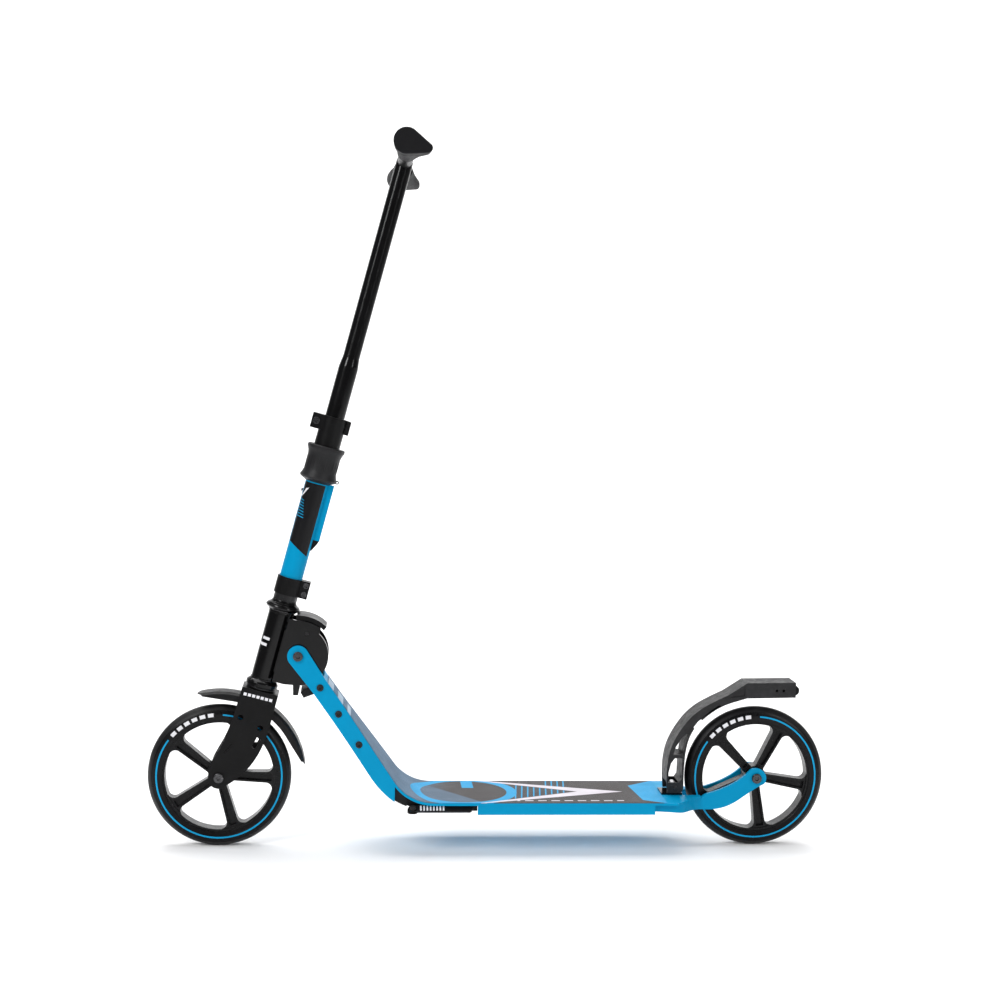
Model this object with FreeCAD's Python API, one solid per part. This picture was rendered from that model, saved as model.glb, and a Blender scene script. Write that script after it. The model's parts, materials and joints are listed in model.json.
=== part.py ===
import FreeCAD, Part
import math
import os

V = FreeCAD.Vector
os.makedirs("parts", exist_ok=True)

# Frame: millimetres, +Z up, the floor at Z = 0, the scooter heads towards -X.
# The origin lies on the floor, midway between the two axles, in the middle plane.

# ---- wheels ----
wheel_diameter = 205.0
wheel_radius = wheel_diameter / 2
wheelbase = 779.0
tyre_half_width = 14.0
tyre_crown_radius = 14.0
tyre_inner_radius = 80.5
rim_outer_radius = 84.0
rim_inner_radius = 77.5
rim_half_width = 11.0
tyre_foot_half_width = 12.6
spoke_count = 5
spoke_hub_half = 6.2
spoke_rim_half = 8.2
spoke_half_depth = 9.0
spoke_web_half_depth = 3.5
spoke_groove_margin = 2.6
spoke_rim_fillet = 9.0
spoke_hub_fillet = 4.0
front_spoke_angle = -2.0
rear_spoke_angle = -10.0
hub_radius = 16.0
hub_half_width = 12.5
hub_bore_radius = 9.0
bearing_outer_radius = 11.0
bearing_width = 7.0
axle_radius = 4.0
bearing_running_gap = 0.05
spacer_radius = 6.5
front_x = -wheelbase / 2
rear_x = wheelbase / 2
axle_z = wheel_radius

# ---- fork and rear arm plates ----
plate_inner_y = 18.0
plate_outer_y = 23.0
axle_head_radius = 7.2
axle_head_height = 4.0
hex_socket_radius = 3.0
hex_socket_depth = 2.5
fender_start = 7.5
fender_sweep = 98.0
fender_taper = 26.0
fender_point = 8.0

# ---- steering column, measured up its own axis from the level of the front axle ----
head_angle_from_vertical = 14.5
column_foot_ahead = 24.5
column_origin = V(front_x + column_foot_ahead, 0, axle_z)
steer_sin = math.sin(math.radians(head_angle_from_vertical))
steer_cos = math.cos(math.radians(head_angle_from_vertical))
crown_bottom = 118.0
crown_top = 129.5
crown_front_r = -25.5
crown_corner = 1.2
fork_hole_radius = 4.0
fork_slot_width = 6.0
crown_rear_r = 27.0
steerer_radius = 14.3
steerer_bore_radius = 12.0
steerer_top = 337.5
head_tube_bottom = 146.0
head_tube_top = 243.0
head_tube_radius = 18.0
head_tube_bore_radius = 16.0
cup_seat_radius = 20.0
upper_cup_top = 254.0
upper_cup_radius = 25.0
lower_cup_bottom = 134.7
lower_cup_radius = 23.0
turning_gap = 0.3
locknut_bottom = 262.0
lower_clamp_bottom = 271.0
lower_clamp_top = 296.0
lower_clamp_radius = 19.0
stem_radius = 16.5
stem_bore_radius = 14.3
stem_top = 530.0
rail_bottom = 356.0
rail_top = 438.0
rail_reach = 25.3
rail_half_width = 4.0
sleeve_bottom = 437.0
sleeve_top = 490.0
sleeve_ribs = 24
strap_eye_s = 443.8
qr_bottom = 490.0
qr_top = 533.0
qr_radius = 18.6
qr_lug_bottom = 511.5
qr_lug_reach = 31.0
qr_lug_half_width = 13.0
qr_bolt_r = -24.0
qr_bolt_s = 522.5
qr_lever_inner = 19.3
qr_lever_outer = 25.0

# ---- handlebar ----
bar_height = 909.0
bar_half_length = 235.0
crossbar_radius = 11.0
bar_lower_radius = 14.0
bar_upper_radius = 12.0
bar_wall = 2.0
swage_bottom = 606.0
swage_top = 622.0
bar_bottom = 408.0
bar_travel = 70.0
keyway_half_width = 3.4
keyway_top = 500.0
button_s = 421.0
button_radius = 2.8
button_travel = 2.0
grip_length = 130.0
grip_end_wall = 4.0
grip_drop = 1.9

# ---- folding joint ----
pivot_r = 39.0
pivot_s = 193.0
housing_radius = 43.0
housing_dome_radius = 49.8
housing_front_r = 13.0
housing_inner_y = 19.5
housing_outer_y = 25.0
neck_inner_y = 28.0
neck_outer_y = 32.0
pivot_bolt_radius = 4.0
pivot_bush_radius = 6.0
lever_pin_r = 43.0
lever_pin_s = 227.0
lever_pin_radius = 2.5
lever_inner_radius = 51.2
lever_outer_radius = 57.5
lever_sheet = 2.6

# ---- deck ----
deck_top = 76.5
deck_bottom = 60.5
deck_half_width = 69.0
sheet_thickness = 3.0
wall_thickness = 4.0
neck_angle = 54.5
neck_half_depth = 12.5
neck_end_radius = 15.2
upper_bend_radius = 69.0
lower_bend_radius = 120.0
deck_wall_end_x = front_x + 622.5
deck_sheet_end_x = front_x + 697.0
tape_end_x = front_x + 640.0
tyre_slot_x = front_x + 672.0
tyre_slot_half = 17.0
tape_thickness = 0.8
notch_front_x = front_x + 250.0
notch_rear_x = front_x + 368.0
notch_inner_y = 59.5
neck_sheet_start = 48.0
neck_straight_start = 55.0
neck_screw_inset = 1.6
neck_screw_head_radius = 5.0

# ---- kickstand ----
stand_x = front_x + 276.0
stand_y = -64.5
stand_z = 67.9
stand_splay = 40.0
stand_length = 84.0
stand_half_depth = 4.6
stand_pin_radius = 2.2

# ---- rear brake ----
brake_half_width = 21.0
brake_web = 4.0
brake_ear_room = 17.5
insert_half = 16.0
insert_bottom = 223.5
insert_top = 238.5
brake_pin_x = front_x + 659.5
brake_pin_z = 88.0
brake_pin_radius = 3.0


# ---------------------------------------------------------------- helpers
def cylinder(radius, start, axis, length):
    return Part.makeCylinder(radius, length, start, axis)


def cylinder_y(radius, x, z, y0, y1):
    return cylinder(radius, V(x, y0, z), V(0, 1, 0), y1 - y0)


def box(x0, x1, y0, y1, z0, z1):
    return Part.makeBox(x1 - x0, y1 - y0, z1 - z0, V(x0, y0, z0))


def tube(outer, inner, s0, s1):
    body = cylinder(outer, V(0, 0, s0), V(0, 0, 1), s1 - s0)
    bore = cylinder(inner, V(0, 0, s0 - 1), V(0, 0, 1), s1 - s0 + 2)
    return body.cut(bore)


def polygon_face(points):
    return Part.Face(Part.makePolygon(points + [points[0]]))


def prism_y(outline, y0, y1):
    points = [V(x, y0, z) for x, z in outline]
    return polygon_face(points).extrude(V(0, y1 - y0, 0))


def prism_z(outline, z0, z1):
    points = [V(x, y, z0) for x, y in outline]
    return polygon_face(points).extrude(V(0, 0, z1 - z0))


def turned(outline):
    """Solid of revolution about the local Z axis, from (radius, height) points."""
    points = [V(radius, 0, height) for radius, height in outline]
    return polygon_face(points).revolve(V(0, 0, 0), V(0, 0, 1), 360)


def curve_through(points):
    curve = Part.BSplineCurve()
    curve.interpolate(points)
    return curve.toShape()


def mirrored(shape):
    return shape.mirror(V(0, 0, 0), V(0, 1, 0))


def fuse_all(shapes):
    return shapes[0].multiFuse(shapes[1:]).removeSplitter()


def on_column(shape):
    """Place a shape made about the local Z axis on the leaning steering axis."""
    placed = shape.copy()
    placed.rotate(V(0, 0, 0), V(0, 1, 0), head_angle_from_vertical)
    placed.translate(column_origin)
    return placed


def column_point(r, s, y=0.0):
    """World point at r behind the steering axis and s along it."""
    x = column_origin.x + r * steer_cos + s * steer_sin
    z = column_origin.z - r * steer_sin + s * steer_cos
    return V(x, y, z)


def hexagon_cut(radius, x, z, y0, y1):
    corners = []
    for k in range(6):
        angle = math.radians(60 * k)
        corners.append((x + radius * math.cos(angle), z + radius * math.sin(angle)))
    return prism_y(corners, y0, y1)


def socket_head(x, z, face_y, side, radius, height):
    """Round bolt head with a hexagon socket, standing out from face_y."""
    y0, y1 = sorted((face_y, face_y + side * height))
    head = cylinder_y(radius, x, z, y0, y1)
    rim = [e for e in head.Edges if abs(e.BoundBox.YMin - (face_y + side * height)) < 1e-4
           and abs(e.BoundBox.YMax - (face_y + side * height)) < 1e-4]
    head = head.makeFillet(min(1.2, height * 0.4), rim)
    s0, s1 = sorted((face_y + side * height, face_y + side * (height - hex_socket_depth)))
    return head.cut(hexagon_cut(hex_socket_radius, x, z, s0 - 0.01, s1 + 0.01))


parts = {}


def keep(name, shape):
    if isinstance(shape, list):
        shape = Part.makeCompound(shape)
    parts[name] = shape


# ---------------------------------------------------------------- wheels
def tyre_shape():
    top = V(wheel_radius, 0, 0)
    side = wheel_radius - tyre_crown_radius
    w = tyre_half_width
    edges = [
        Part.Arc(V(side, 0, -w), top, V(side, 0, w)).toShape(),
        Part.LineSegment(V(side, 0, w), V(tyre_inner_radius, 0, tyre_foot_half_width)).toShape(),
        Part.LineSegment(V(tyre_inner_radius, 0, tyre_foot_half_width),
                         V(tyre_inner_radius, 0, rim_half_width)).toShape(),
        Part.LineSegment(V(tyre_inner_radius, 0, rim_half_width),
                         V(rim_outer_radius, 0, rim_half_width)).toShape(),
        Part.LineSegment(V(rim_outer_radius, 0, rim_half_width),
                         V(rim_outer_radius, 0, -rim_half_width)).toShape(),
        Part.LineSegment(V(rim_outer_radius, 0, -rim_half_width),
                         V(tyre_inner_radius, 0, -rim_half_width)).toShape(),
        Part.LineSegment(V(tyre_inner_radius, 0, -rim_half_width),
                         V(tyre_inner_radius, 0, -tyre_foot_half_width)).toShape(),
        Part.LineSegment(V(tyre_inner_radius, 0, -tyre_foot_half_width), V(side, 0, -w)).toShape(),
    ]
    face = Part.Face(Part.Wire(Part.__sortEdges__(edges)))
    return face.revolve(V(0, 0, 0), V(0, 0, 1), 360)


def spoke_bar(angle, margin, r0, r1, z0, z1):
    """Bar that widens towards the rim, drawn in by margin on both sides."""
    slope = (spoke_rim_half - spoke_hub_half) / (rim_inner_radius - hub_radius)
    half0 = spoke_hub_half + slope * (r0 - hub_radius) - margin
    half1 = spoke_hub_half + slope * (r1 - hub_radius) - margin
    bar = prism_z([(r0, -half0), (r1, -half1), (r1, half1), (r0, half0)], z0, z1)
    bar.rotate(V(0, 0, 0), V(0, 0, 1), angle)
    return bar


def rim_shape():
    """Five-spoke wheel centre about the local Z axis."""
    ring = tube(rim_outer_radius, rim_inner_radius, -rim_half_width, rim_half_width)
    hub = cylinder(hub_radius, V(0, 0, -hub_half_width), V(0, 0, 1), 2 * hub_half_width)
    spokes = []
    for k in range(spoke_count):
        spokes.append(spoke_bar(360.0 / spoke_count * k, 0, hub_radius - 5, rim_inner_radius + 2,
                                -spoke_half_depth, spoke_half_depth))
    body = ring.multiFuse([hub] + spokes).removeSplitter()
    at_rim = []
    at_hub = []
    for edge in body.Edges:
        if len(edge.Vertexes) != 2:
            continue
        a = edge.Vertexes[0].Point
        b = edge.Vertexes[1].Point
        if abs(a.x - b.x) > 1e-3 or abs(a.y - b.y) > 1e-3:
            continue
        radius = math.hypot(a.x, a.y)
        if abs(radius - rim_inner_radius) < 0.5:
            at_rim.append(edge)
        elif abs(radius - hub_radius) < 0.5:
            at_hub.append(edge)
    body = body.makeFillet(spoke_rim_fillet, at_rim)
    at_hub = [e for e in body.Edges if len(e.Vertexes) == 2
              and abs(e.Vertexes[0].Point.x - e.Vertexes[1].Point.x) < 1e-3
              and abs(e.Vertexes[0].Point.y - e.Vertexes[1].Point.y) < 1e-3
              and abs(math.hypot(e.Vertexes[0].Point.x, e.Vertexes[0].Point.y) - hub_radius) < 0.3]
    body = body.makeFillet(spoke_hub_fillet, at_hub)
    for k in range(spoke_count):
        for z0, z1 in ((spoke_web_half_depth, 20), (-20, -spoke_web_half_depth)):
            groove = spoke_bar(360.0 / spoke_count * k, spoke_groove_margin, hub_radius + 3,
                               rim_inner_radius - 3, z0, z1)
            body = body.cut(groove)
    bore = cylinder(hub_bore_radius, V(0, 0, -20), V(0, 0, 1), 40)
    body = body.cut(bore)
    seat = hub_half_width - bearing_width
    for start in (-hub_half_width - 1, seat):
        body = body.cut(cylinder(bearing_outer_radius, V(0, 0, start), V(0, 0, 1), bearing_width + 1))
    return body


def bearing_shapes():
    seat = hub_half_width - bearing_width
    inner = axle_radius + bearing_running_gap
    return [tube(bearing_outer_radius, inner, seat, hub_half_width),
            tube(bearing_outer_radius, inner, -hub_half_width, -seat)]


def place_wheel(shape, x, spoke_angle):
    placed = shape.copy()
    placed.rotate(V(0, 0, 0), V(0, 0, 1), spoke_angle)
    placed.rotate(V(0, 0, 0), V(1, 0, 0), 90)
    placed.translate(V(x, 0, axle_z))
    return placed


def make_wheel(end, x, spoke_angle):
    keep(end + "_tyre", place_wheel(tyre_shape(), x, spoke_angle))
    keep(end + "_rim", place_wheel(rim_shape(), x, spoke_angle))
    keep(end + "_bearings", [place_wheel(b, x, spoke_angle) for b in bearing_shapes()])


def make_axle(end, x):
    keep(end + "_axle", cylinder_y(axle_radius, x, axle_z, -plate_outer_y, plate_outer_y))
    heads = []
    spacers = []
    for side in (-1, 1):
        heads.append(socket_head(x, axle_z, side * plate_outer_y, side,
                                 axle_head_radius, axle_head_height))
        y0, y1 = sorted((side * (hub_half_width + turning_gap), side * plate_inner_y))
        ring = cylinder_y(spacer_radius, x, axle_z, y0, y1)
        spacers.append(ring.cut(cylinder_y(axle_radius, x, axle_z, y0 - 1, y1 + 1)))
    keep(end + "_axle_bolts", heads)
    keep(end + "_axle_spacers", spacers)


# ---------------------------------------------------------------- fork
def slot_prism(start, end, width, y0, y1):
    """Round-ended slot between two (r, s) points, through y0 to y1."""
    dx = end[0] - start[0]
    dz = end[1] - start[1]
    length = math.hypot(dx, dz)
    nx = -dz / length * width / 2
    nz = dx / length * width / 2
    corners = [(start[0] + nx, start[1] + nz), (end[0] + nx, end[1] + nz),
               (end[0] - nx, end[1] - nz), (start[0] - nx, start[1] - nz)]
    bar = prism_y(corners, y0, y1)
    ends = [cylinder_y(width / 2, start[0], start[1], y0, y1),
            cylinder_y(width / 2, end[0], end[1], y0, y1)]
    return bar.multiFuse(ends)


def fork_leg_shape():
    """Left fork plate in the column's own frame, from the crown down to the axle."""
    axle_r = -column_foot_ahead * steer_cos
    axle_s = -column_foot_ahead * steer_sin
    dropout = 15.5
    front = [V(crown_front_r - 1.0, 0, 90), V(-28.0, 0, 68), V(-33.0, 0, 38), V(-40, 0, 8),
             V(axle_r - dropout, 0, axle_s)]
    rear = [V(axle_r + 13.5, 0, axle_s - 7.5), V(2, 0, 0), V(16, 0, 24), V(24.5, 0, 54),
            V(crown_rear_r, 0, 84)]
    bottom = V(axle_r - 3, 0, axle_s - dropout)
    crown_front = V(crown_front_r, 0, crown_top)
    crown_rear = V(crown_rear_r, 0, crown_top)
    edges = [Part.LineSegment(crown_front, front[0]).toShape(),
             curve_through(front),
             Part.Arc(front[-1], bottom, rear[0]).toShape(),
             curve_through(rear),
             Part.LineSegment(rear[-1], crown_rear).toShape(),
             Part.LineSegment(crown_rear, crown_front).toShape()]
    face = Part.Face(Part.Wire(edges))
    leg = face.extrude(V(0, plate_outer_y - plate_inner_y, 0))
    leg.translate(V(0, -plate_outer_y, 0))
    y0 = -plate_outer_y - 1
    y1 = -plate_inner_y + 1
    for r, along in ((-16.5, 86), (14.5, 78)):
        leg = leg.cut(cylinder_y(fork_hole_radius, r, along, y0, y1))
    leg = leg.cut(slot_prism((16.2, 63), (13.2, 50), fork_slot_width, y0, y1))
    groove = slot_prism((-25, 33), (-19, 45), 3.0, y0, -plate_outer_y + 1.2)
    return leg.cut(groove).cut(cylinder_y(axle_radius, axle_r, axle_s, y0, y1))


def make_fork():
    leg = fork_leg_shape()
    crown = box(crown_front_r, crown_rear_r, -plate_outer_y, plate_outer_y, crown_bottom, crown_top)
    edges = [e for e in crown.Edges if abs(e.Vertexes[0].Point.z - e.Vertexes[1].Point.z) > 1]
    crown = crown.makeFillet(crown_corner, edges)
    fork = fuse_all([crown, leg, mirrored(leg)])
    bore = cylinder(steerer_radius, V(0, 0, crown_bottom - 5), V(0, 0, 1), 40)
    keep("fork", on_column(fork.cut(bore)))
    keep("steerer_tube", on_column(tube(steerer_radius, steerer_bore_radius, crown_bottom, steerer_top)))


def make_front_fender():
    """Thin channel round the wheel with pointed ends, bolted up under the crown."""
    outer = 123.0
    skirt = 111.0
    half = plate_inner_y - 0.3
    thickness = 2.0
    section = [(outer - 3, -half), (skirt, -half), (skirt, -half + thickness),
               (outer - 3 - thickness / 2, -half + thickness), (outer - thickness, -half + 5),
               (outer - thickness, half - 5), (outer - 3 - thickness / 2, half - thickness),
               (skirt, half - thickness), (skirt, half), (outer - 3, half), (outer, half - 5),
               (outer, -half + 5)]
    points = [V(radius, y, 0) for radius, y in section]
    shell = polygon_face(points).revolve(V(0, 0, 0), V(0, -1, 0), fender_sweep)
    shell.rotate(V(0, 0, 0), V(0, -1, 0), fender_start)
    for end, direction in ((fender_start, 1), (fender_start + fender_sweep, -1)):
        # the skirts run out to nothing towards the tip
        a = math.radians(end)
        b = math.radians(end + direction * fender_taper)
        tip_radius = outer - thickness * 0.6
        wedge = prism_y([((skirt - 6) * math.cos(a), (skirt - 6) * math.sin(a)),
                         (tip_radius * math.cos(a), tip_radius * math.sin(a)),
                         (skirt * math.cos(b), skirt * math.sin(b)),
                         ((skirt - 6) * math.cos(b), (skirt - 6) * math.sin(b))], -30, 30)
        shell = shell.cut(wedge)
        # and the crown narrows to a point
        for side in (-1, 1):
            corners = [V(90, side * 1.0, -1.0 * direction),
                       V(90, side * (half + 1), fender_point * direction),
                       V(90, side * (half + 1), -1.0 * direction)]
            corner = polygon_face(corners).extrude(V(50, 0, 0))
            corner.rotate(V(0, 0, 0), V(0, -1, 0), end)
            shell = shell.cut(corner)
    shell.translate(V(front_x, 0, axle_z))
    boss = on_column(cylinder(13.5, V(0, 0, crown_bottom - 10), V(0, 0, 1), 10))
    boss = boss.cut(cylinder_y(outer - thickness, front_x, axle_z, -30, 30))
    shell = shell.fuse(boss).removeSplitter()
    screw_hole = on_column(cylinder(2.5, V(0, 0, crown_bottom - 20), V(0, 0, 1), 30))
    keep("front_fender", shell.cut(screw_hole))
    head = cylinder(4.5, V(0, 0, crown_bottom - 8.0), V(0, 0, 1), 1.6)
    shank = cylinder(2.5, V(0, 0, crown_bottom - 6.4), V(0, 0, 1), 10.4)
    keep("fender_screw", on_column(head.fuse(shank).removeSplitter()))


# ---------------------------------------------------------------- headset
def make_headset():
    keep("head_tube", on_column(tube(head_tube_radius, head_tube_bore_radius,
                                     head_tube_bottom, head_tube_top)))
    upper = turned([(15, 233), (16, 233), (16, 243), (18.4, 243), (18.4, 246), (21, 248),
                    (24, 250), (upper_cup_radius, 252), (24.4, upper_cup_top),
                    (cup_seat_radius, upper_cup_top), (cup_seat_radius, 246.2), (15, 246.2)])
    lower = turned([(15, 156), (15, 141), (cup_seat_radius, 141), (cup_seat_radius, lower_cup_bottom),
                    (lower_cup_radius, lower_cup_bottom), (lower_cup_radius, 139.5), (21, 142),
                    (18.6, 144), (18.6, 146), (16, 146), (16, 156)])
    keep("upper_headset_cup", on_column(upper))
    keep("lower_headset_cup", on_column(lower))
    inner = steerer_radius + bearing_running_gap
    keep("headset_bearings", [on_column(tube(cup_seat_radius, inner, 246.2, 253.6)),
                              on_column(tube(cup_seat_radius, inner, 135.0, 141.0))])
    race = turned([(steerer_radius, crown_top), (19.5, crown_top), (19.5, 130.4), (21.5, 131.0),
                   (21.5, 132.8), (20.4, 133.4), (20.4, lower_cup_bottom - turning_gap),
                   (steerer_radius, lower_cup_bottom - turning_gap)])
    keep("crown_race", on_column(race))
    base = upper_cup_top + turning_gap
    cover = turned([(steerer_radius, base), (23.6, base), (22.6, 256), (19, 258), (17.2, 261),
                    (17.2, locknut_bottom), (steerer_radius, locknut_bottom)])
    keep("headset_cover", on_column(cover))
    nut = cylinder(17.0, V(0, 0, locknut_bottom), V(0, 0, 1), lower_clamp_bottom - locknut_bottom)
    nut = nut.cut(cylinder(steerer_radius, V(0, 0, 250), V(0, 0, 1), 40))
    for k in range(6):
        flat = Part.makeBox(4, 40, 5, V(15.6, -20, locknut_bottom + 2.0))
        flat.rotate(V(0, 0, 0), V(0, 0, 1), 60 * k + 30)
        nut = nut.cut(flat)
    keep("headset_locknut", on_column(nut))


# ---------------------------------------------------------------- stem tube and clamps
def make_stem():
    shell = cylinder(stem_radius, V(0, 0, lower_clamp_bottom), V(0, 0, 1), stem_top - lower_clamp_bottom)
    rail = box(10, rail_reach, -rail_half_width, rail_half_width, rail_bottom, rail_top)
    edges = [e for e in rail.Edges if abs(e.Vertexes[0].Point.z - e.Vertexes[1].Point.z) > 1
             and e.Vertexes[0].Point.x > rail_reach - 1]
    rail = rail.makeFillet(2.0, edges)
    shell = shell.fuse(rail).removeSplitter()
    shell = shell.cut(cylinder(stem_bore_radius, V(0, 0, 250), V(0, 0, 1), 300))
    channel = box(stem_radius + 1.5, rail_reach - 1.6, -rail_half_width + 1.6, rail_half_width - 1.6,
                  rail_bottom - 1, rail_bottom + 12)
    shell = shell.cut(channel)
    hole = cylinder(button_radius + bearing_running_gap, V(-30, 0, button_s), V(1, 0, 0), 22)
    keep("stem_tube", on_column(shell.cut(hole)))
    plug = prism_y([(stem_bore_radius, rail_bottom), (rail_reach - 0.2, rail_bottom),
                    (rail_reach - 2.5, rail_bottom - 6), (stem_radius + 1.2, rail_bottom - 16),
                    (stem_bore_radius, rail_bottom - 16)], -rail_half_width, rail_half_width)
    plug = plug.cut(cylinder(stem_radius, V(0, 0, rail_bottom - 20), V(0, 0, 1), 30))
    tongue = box(stem_radius + 1.5, rail_reach - 1.6, -rail_half_width + 1.6, rail_half_width - 1.6,
                 rail_bottom, rail_bottom + 10)
    keep("rail_plug", on_column(plug.fuse(tongue).removeSplitter()))


def make_lower_clamp():
    mid = (lower_clamp_bottom + lower_clamp_top) / 2
    ring = cylinder(lower_clamp_radius, V(0, 0, lower_clamp_bottom), V(0, 0, 1),
                    lower_clamp_top - lower_clamp_bottom)
    lug = box(10, 29.5, -9.5, 9.5, lower_clamp_bottom, lower_clamp_top)
    edges = [e for e in lug.Edges if abs(e.Vertexes[0].Point.z - e.Vertexes[1].Point.z) > 1
             and e.Vertexes[0].Point.x > 20]
    lug = lug.makeFillet(2.0, edges)
    clamp = ring.fuse(lug).removeSplitter()
    clamp = clamp.cut(cylinder(stem_radius, V(0, 0, 260), V(0, 0, 1), 60))
    clamp = clamp.cut(box(10, 40, -1, 1, lower_clamp_bottom - 1, lower_clamp_top + 1))
    bolts = []
    for offset in (-6.5, 6.5):
        s = mid + offset
        clamp = clamp.cut(cylinder_y(2.5, 24, s, -12, 12))
        clamp = clamp.cut(cylinder_y(4.2, 24, s, -12, -6.5))
        head = cylinder_y(4.2, 24, s, -10.3, -6.5)
        shank = cylinder_y(2.5, 24, s, -6.5, 9.0)
        bolt = head.fuse(shank).removeSplitter()
        bolts.append(on_column(bolt.cut(hexagon_cut(2.3, 24, s, -10.4, -8.2))))
    keep("lower_clamp", on_column(clamp))
    keep("lower_clamp_bolts", bolts)


def make_rubber_sleeve():
    bore = stem_radius
    outline = [(bore, sleeve_bottom), (stem_radius + 1.0, sleeve_bottom), (26.0, 441.5), (27.0, 444.0),
               (24.8, 449.0), (23.4, 454.0), (23.0, 465.0), (23.6, 475.0), (24.6, 480.0),
               (27.0, 485.5), (27.0, 488.6), (26.0, sleeve_top), (bore, sleeve_top)]
    body = turned(outline)
    ribs = []
    for k in range(sleeve_ribs):
        rib = Part.makeBox(1.4, 1.2, 22, V(22.2, -0.6, 454))
        rib.rotate(V(0, 0, 0), V(0, 0, 1), 360.0 / sleeve_ribs * k)
        ribs.append(rib)
    body = body.multiFuse(ribs).removeSplitter()
    body = body.cut(box(0, rail_reach + 0.1, -rail_half_width, rail_half_width, sleeve_bottom - 2, rail_top))
    stud = cylinder(0.9, V(22, 0, strap_eye_s), V(1, 0, 0), 4.2)
    eye = Part.makeTorus(2.0, 0.8, V(27.6, 0, strap_eye_s), V(0, 1, 0)).fuse(stud).removeSplitter()
    keep("rubber_sleeve", on_column(body.cut(eye)))
    keep("strap_eye", on_column(eye))


def make_qr_clamp():
    sleeve = cylinder(qr_radius, V(0, 0, qr_bottom), V(0, 0, 1), qr_top - qr_bottom)
    lug = box(-qr_lug_reach, -10, -qr_lug_half_width, qr_lug_half_width, qr_lug_bottom, qr_top)
    edges = [e for e in lug.Edges if abs(e.Vertexes[0].Point.z - e.Vertexes[1].Point.z) > 1
             and e.Vertexes[0].Point.x < -20]
    lug = lug.makeFillet(1.5, edges)
    clamp = sleeve.fuse(lug).removeSplitter()
    clamp = clamp.cut(cylinder(stem_radius, V(0, 0, qr_bottom - 1), V(0, 0, 1), stem_top - qr_bottom + 1))
    clamp = clamp.cut(cylinder(stem_bore_radius, V(0, 0, qr_bottom), V(0, 0, 1), 60))
    clamp = clamp.cut(box(-40, -10, -1.2, 1.2, qr_lug_bottom - 6, qr_top + 1))
    clamp = clamp.cut(cylinder_y(2.6, qr_bolt_r, qr_bolt_s, -20, 20))
    keep("quick_release_clamp", on_column(clamp))
    knuckle_y = qr_lug_half_width + turning_gap + 6.5
    shank = cylinder_y(2.5, qr_bolt_r, qr_bolt_s, -qr_lug_half_width, knuckle_y)
    trunnion = cylinder(3.2, V(qr_bolt_r, knuckle_y, qr_bolt_s - 3.2), V(0, 0, 1), 6.4)
    pin = cylinder(2.0, V(qr_bolt_r, knuckle_y, 513.5), V(0, 0, 1), 18.0)
    keep("quick_release_bolt", on_column(fuse_all([shank, trunnion, pin])))
    nut = cylinder_y(5.0, qr_bolt_r, qr_bolt_s, -qr_lug_half_width - 3.0, -qr_lug_half_width)
    nut = nut.cut(hexagon_cut(2.6, qr_bolt_r, qr_bolt_s, -qr_lug_half_width - 3.1, -qr_lug_half_width - 1.2))
    keep("quick_release_nut", on_column(nut))
    # lever: two cheeks round the cross pin, then one arm wrapped round the far side
    low = 512.5
    high = 532.5
    knuckle = cylinder(6.5, V(qr_bolt_r, knuckle_y, low), V(0, 0, 1), high - low)
    neck = prism_z([(qr_bolt_r, knuckle_y - 3), (-4, knuckle_y - 1), (-4, qr_lever_outer),
                    (qr_bolt_r, knuckle_y + 6.5)], low, high)
    band = tube(qr_lever_outer, qr_lever_inner, low, high)
    keep_zone = prism_z([(-14, 0), (-14, 40), (40, 40), (40, -6), (0, -6), (0, 0)], low - 1, high + 1)
    band = band.common(keep_zone)
    lever = fuse_all([knuckle, neck, band])
    lever = lever.cut(cylinder(qr_lever_inner, V(0, 0, low - 1), V(0, 0, 1), high - low + 2))
    lever = lever.cut(cylinder(2.0 + bearing_running_gap, V(qr_bolt_r, knuckle_y, low - 1),
                               V(0, 0, 1), high - low + 2))
    gap = cylinder(8.0, V(qr_bolt_r, knuckle_y, qr_bolt_s - 3.6), V(0, 0, 1), 7.2)
    keep("quick_release_lever", on_column(lever.cut(gap)))


# ---------------------------------------------------------------- handlebar
def make_handlebar():
    top = bar_height
    outline = [(bar_lower_radius - bar_wall, bar_bottom), (bar_lower_radius, bar_bottom),
               (bar_lower_radius, swage_bottom), (bar_upper_radius, swage_top),
               (bar_upper_radius, top), (bar_upper_radius - bar_wall, top),
               (bar_upper_radius - bar_wall, swage_top), (bar_lower_radius - bar_wall, swage_bottom)]
    post = turned(outline)
    post = post.cut(box(-20, -5, -keyway_half_width, keyway_half_width, bar_bottom - 1, keyway_top))
    cross_hole = cylinder_y(crossbar_radius, 0, bar_height, -30, 30)
    keep("handlebar_post", on_column(post.cut(cross_hole)))
    crossbar = cylinder_y(crossbar_radius, 0, bar_height, -bar_half_length + grip_end_wall,
                          bar_half_length - grip_end_wall)
    bore = cylinder_y(crossbar_radius - bar_wall, 0, bar_height, -bar_half_length, bar_half_length)
    keep("crossbar", on_column(crossbar.cut(bore)))
    for name, side in (("left_grip", -1), ("right_grip", 1)):
        keep(name, on_column(grip_shape(side)))
    pin_inner = -bar_lower_radius + 1.0
    pin = cylinder(button_radius, V(-stem_radius - 3.0, 0, button_s), V(1, 0, 0),
                   stem_radius + 3.0 + pin_inner)
    keep("height_button", on_column(pin))


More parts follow.
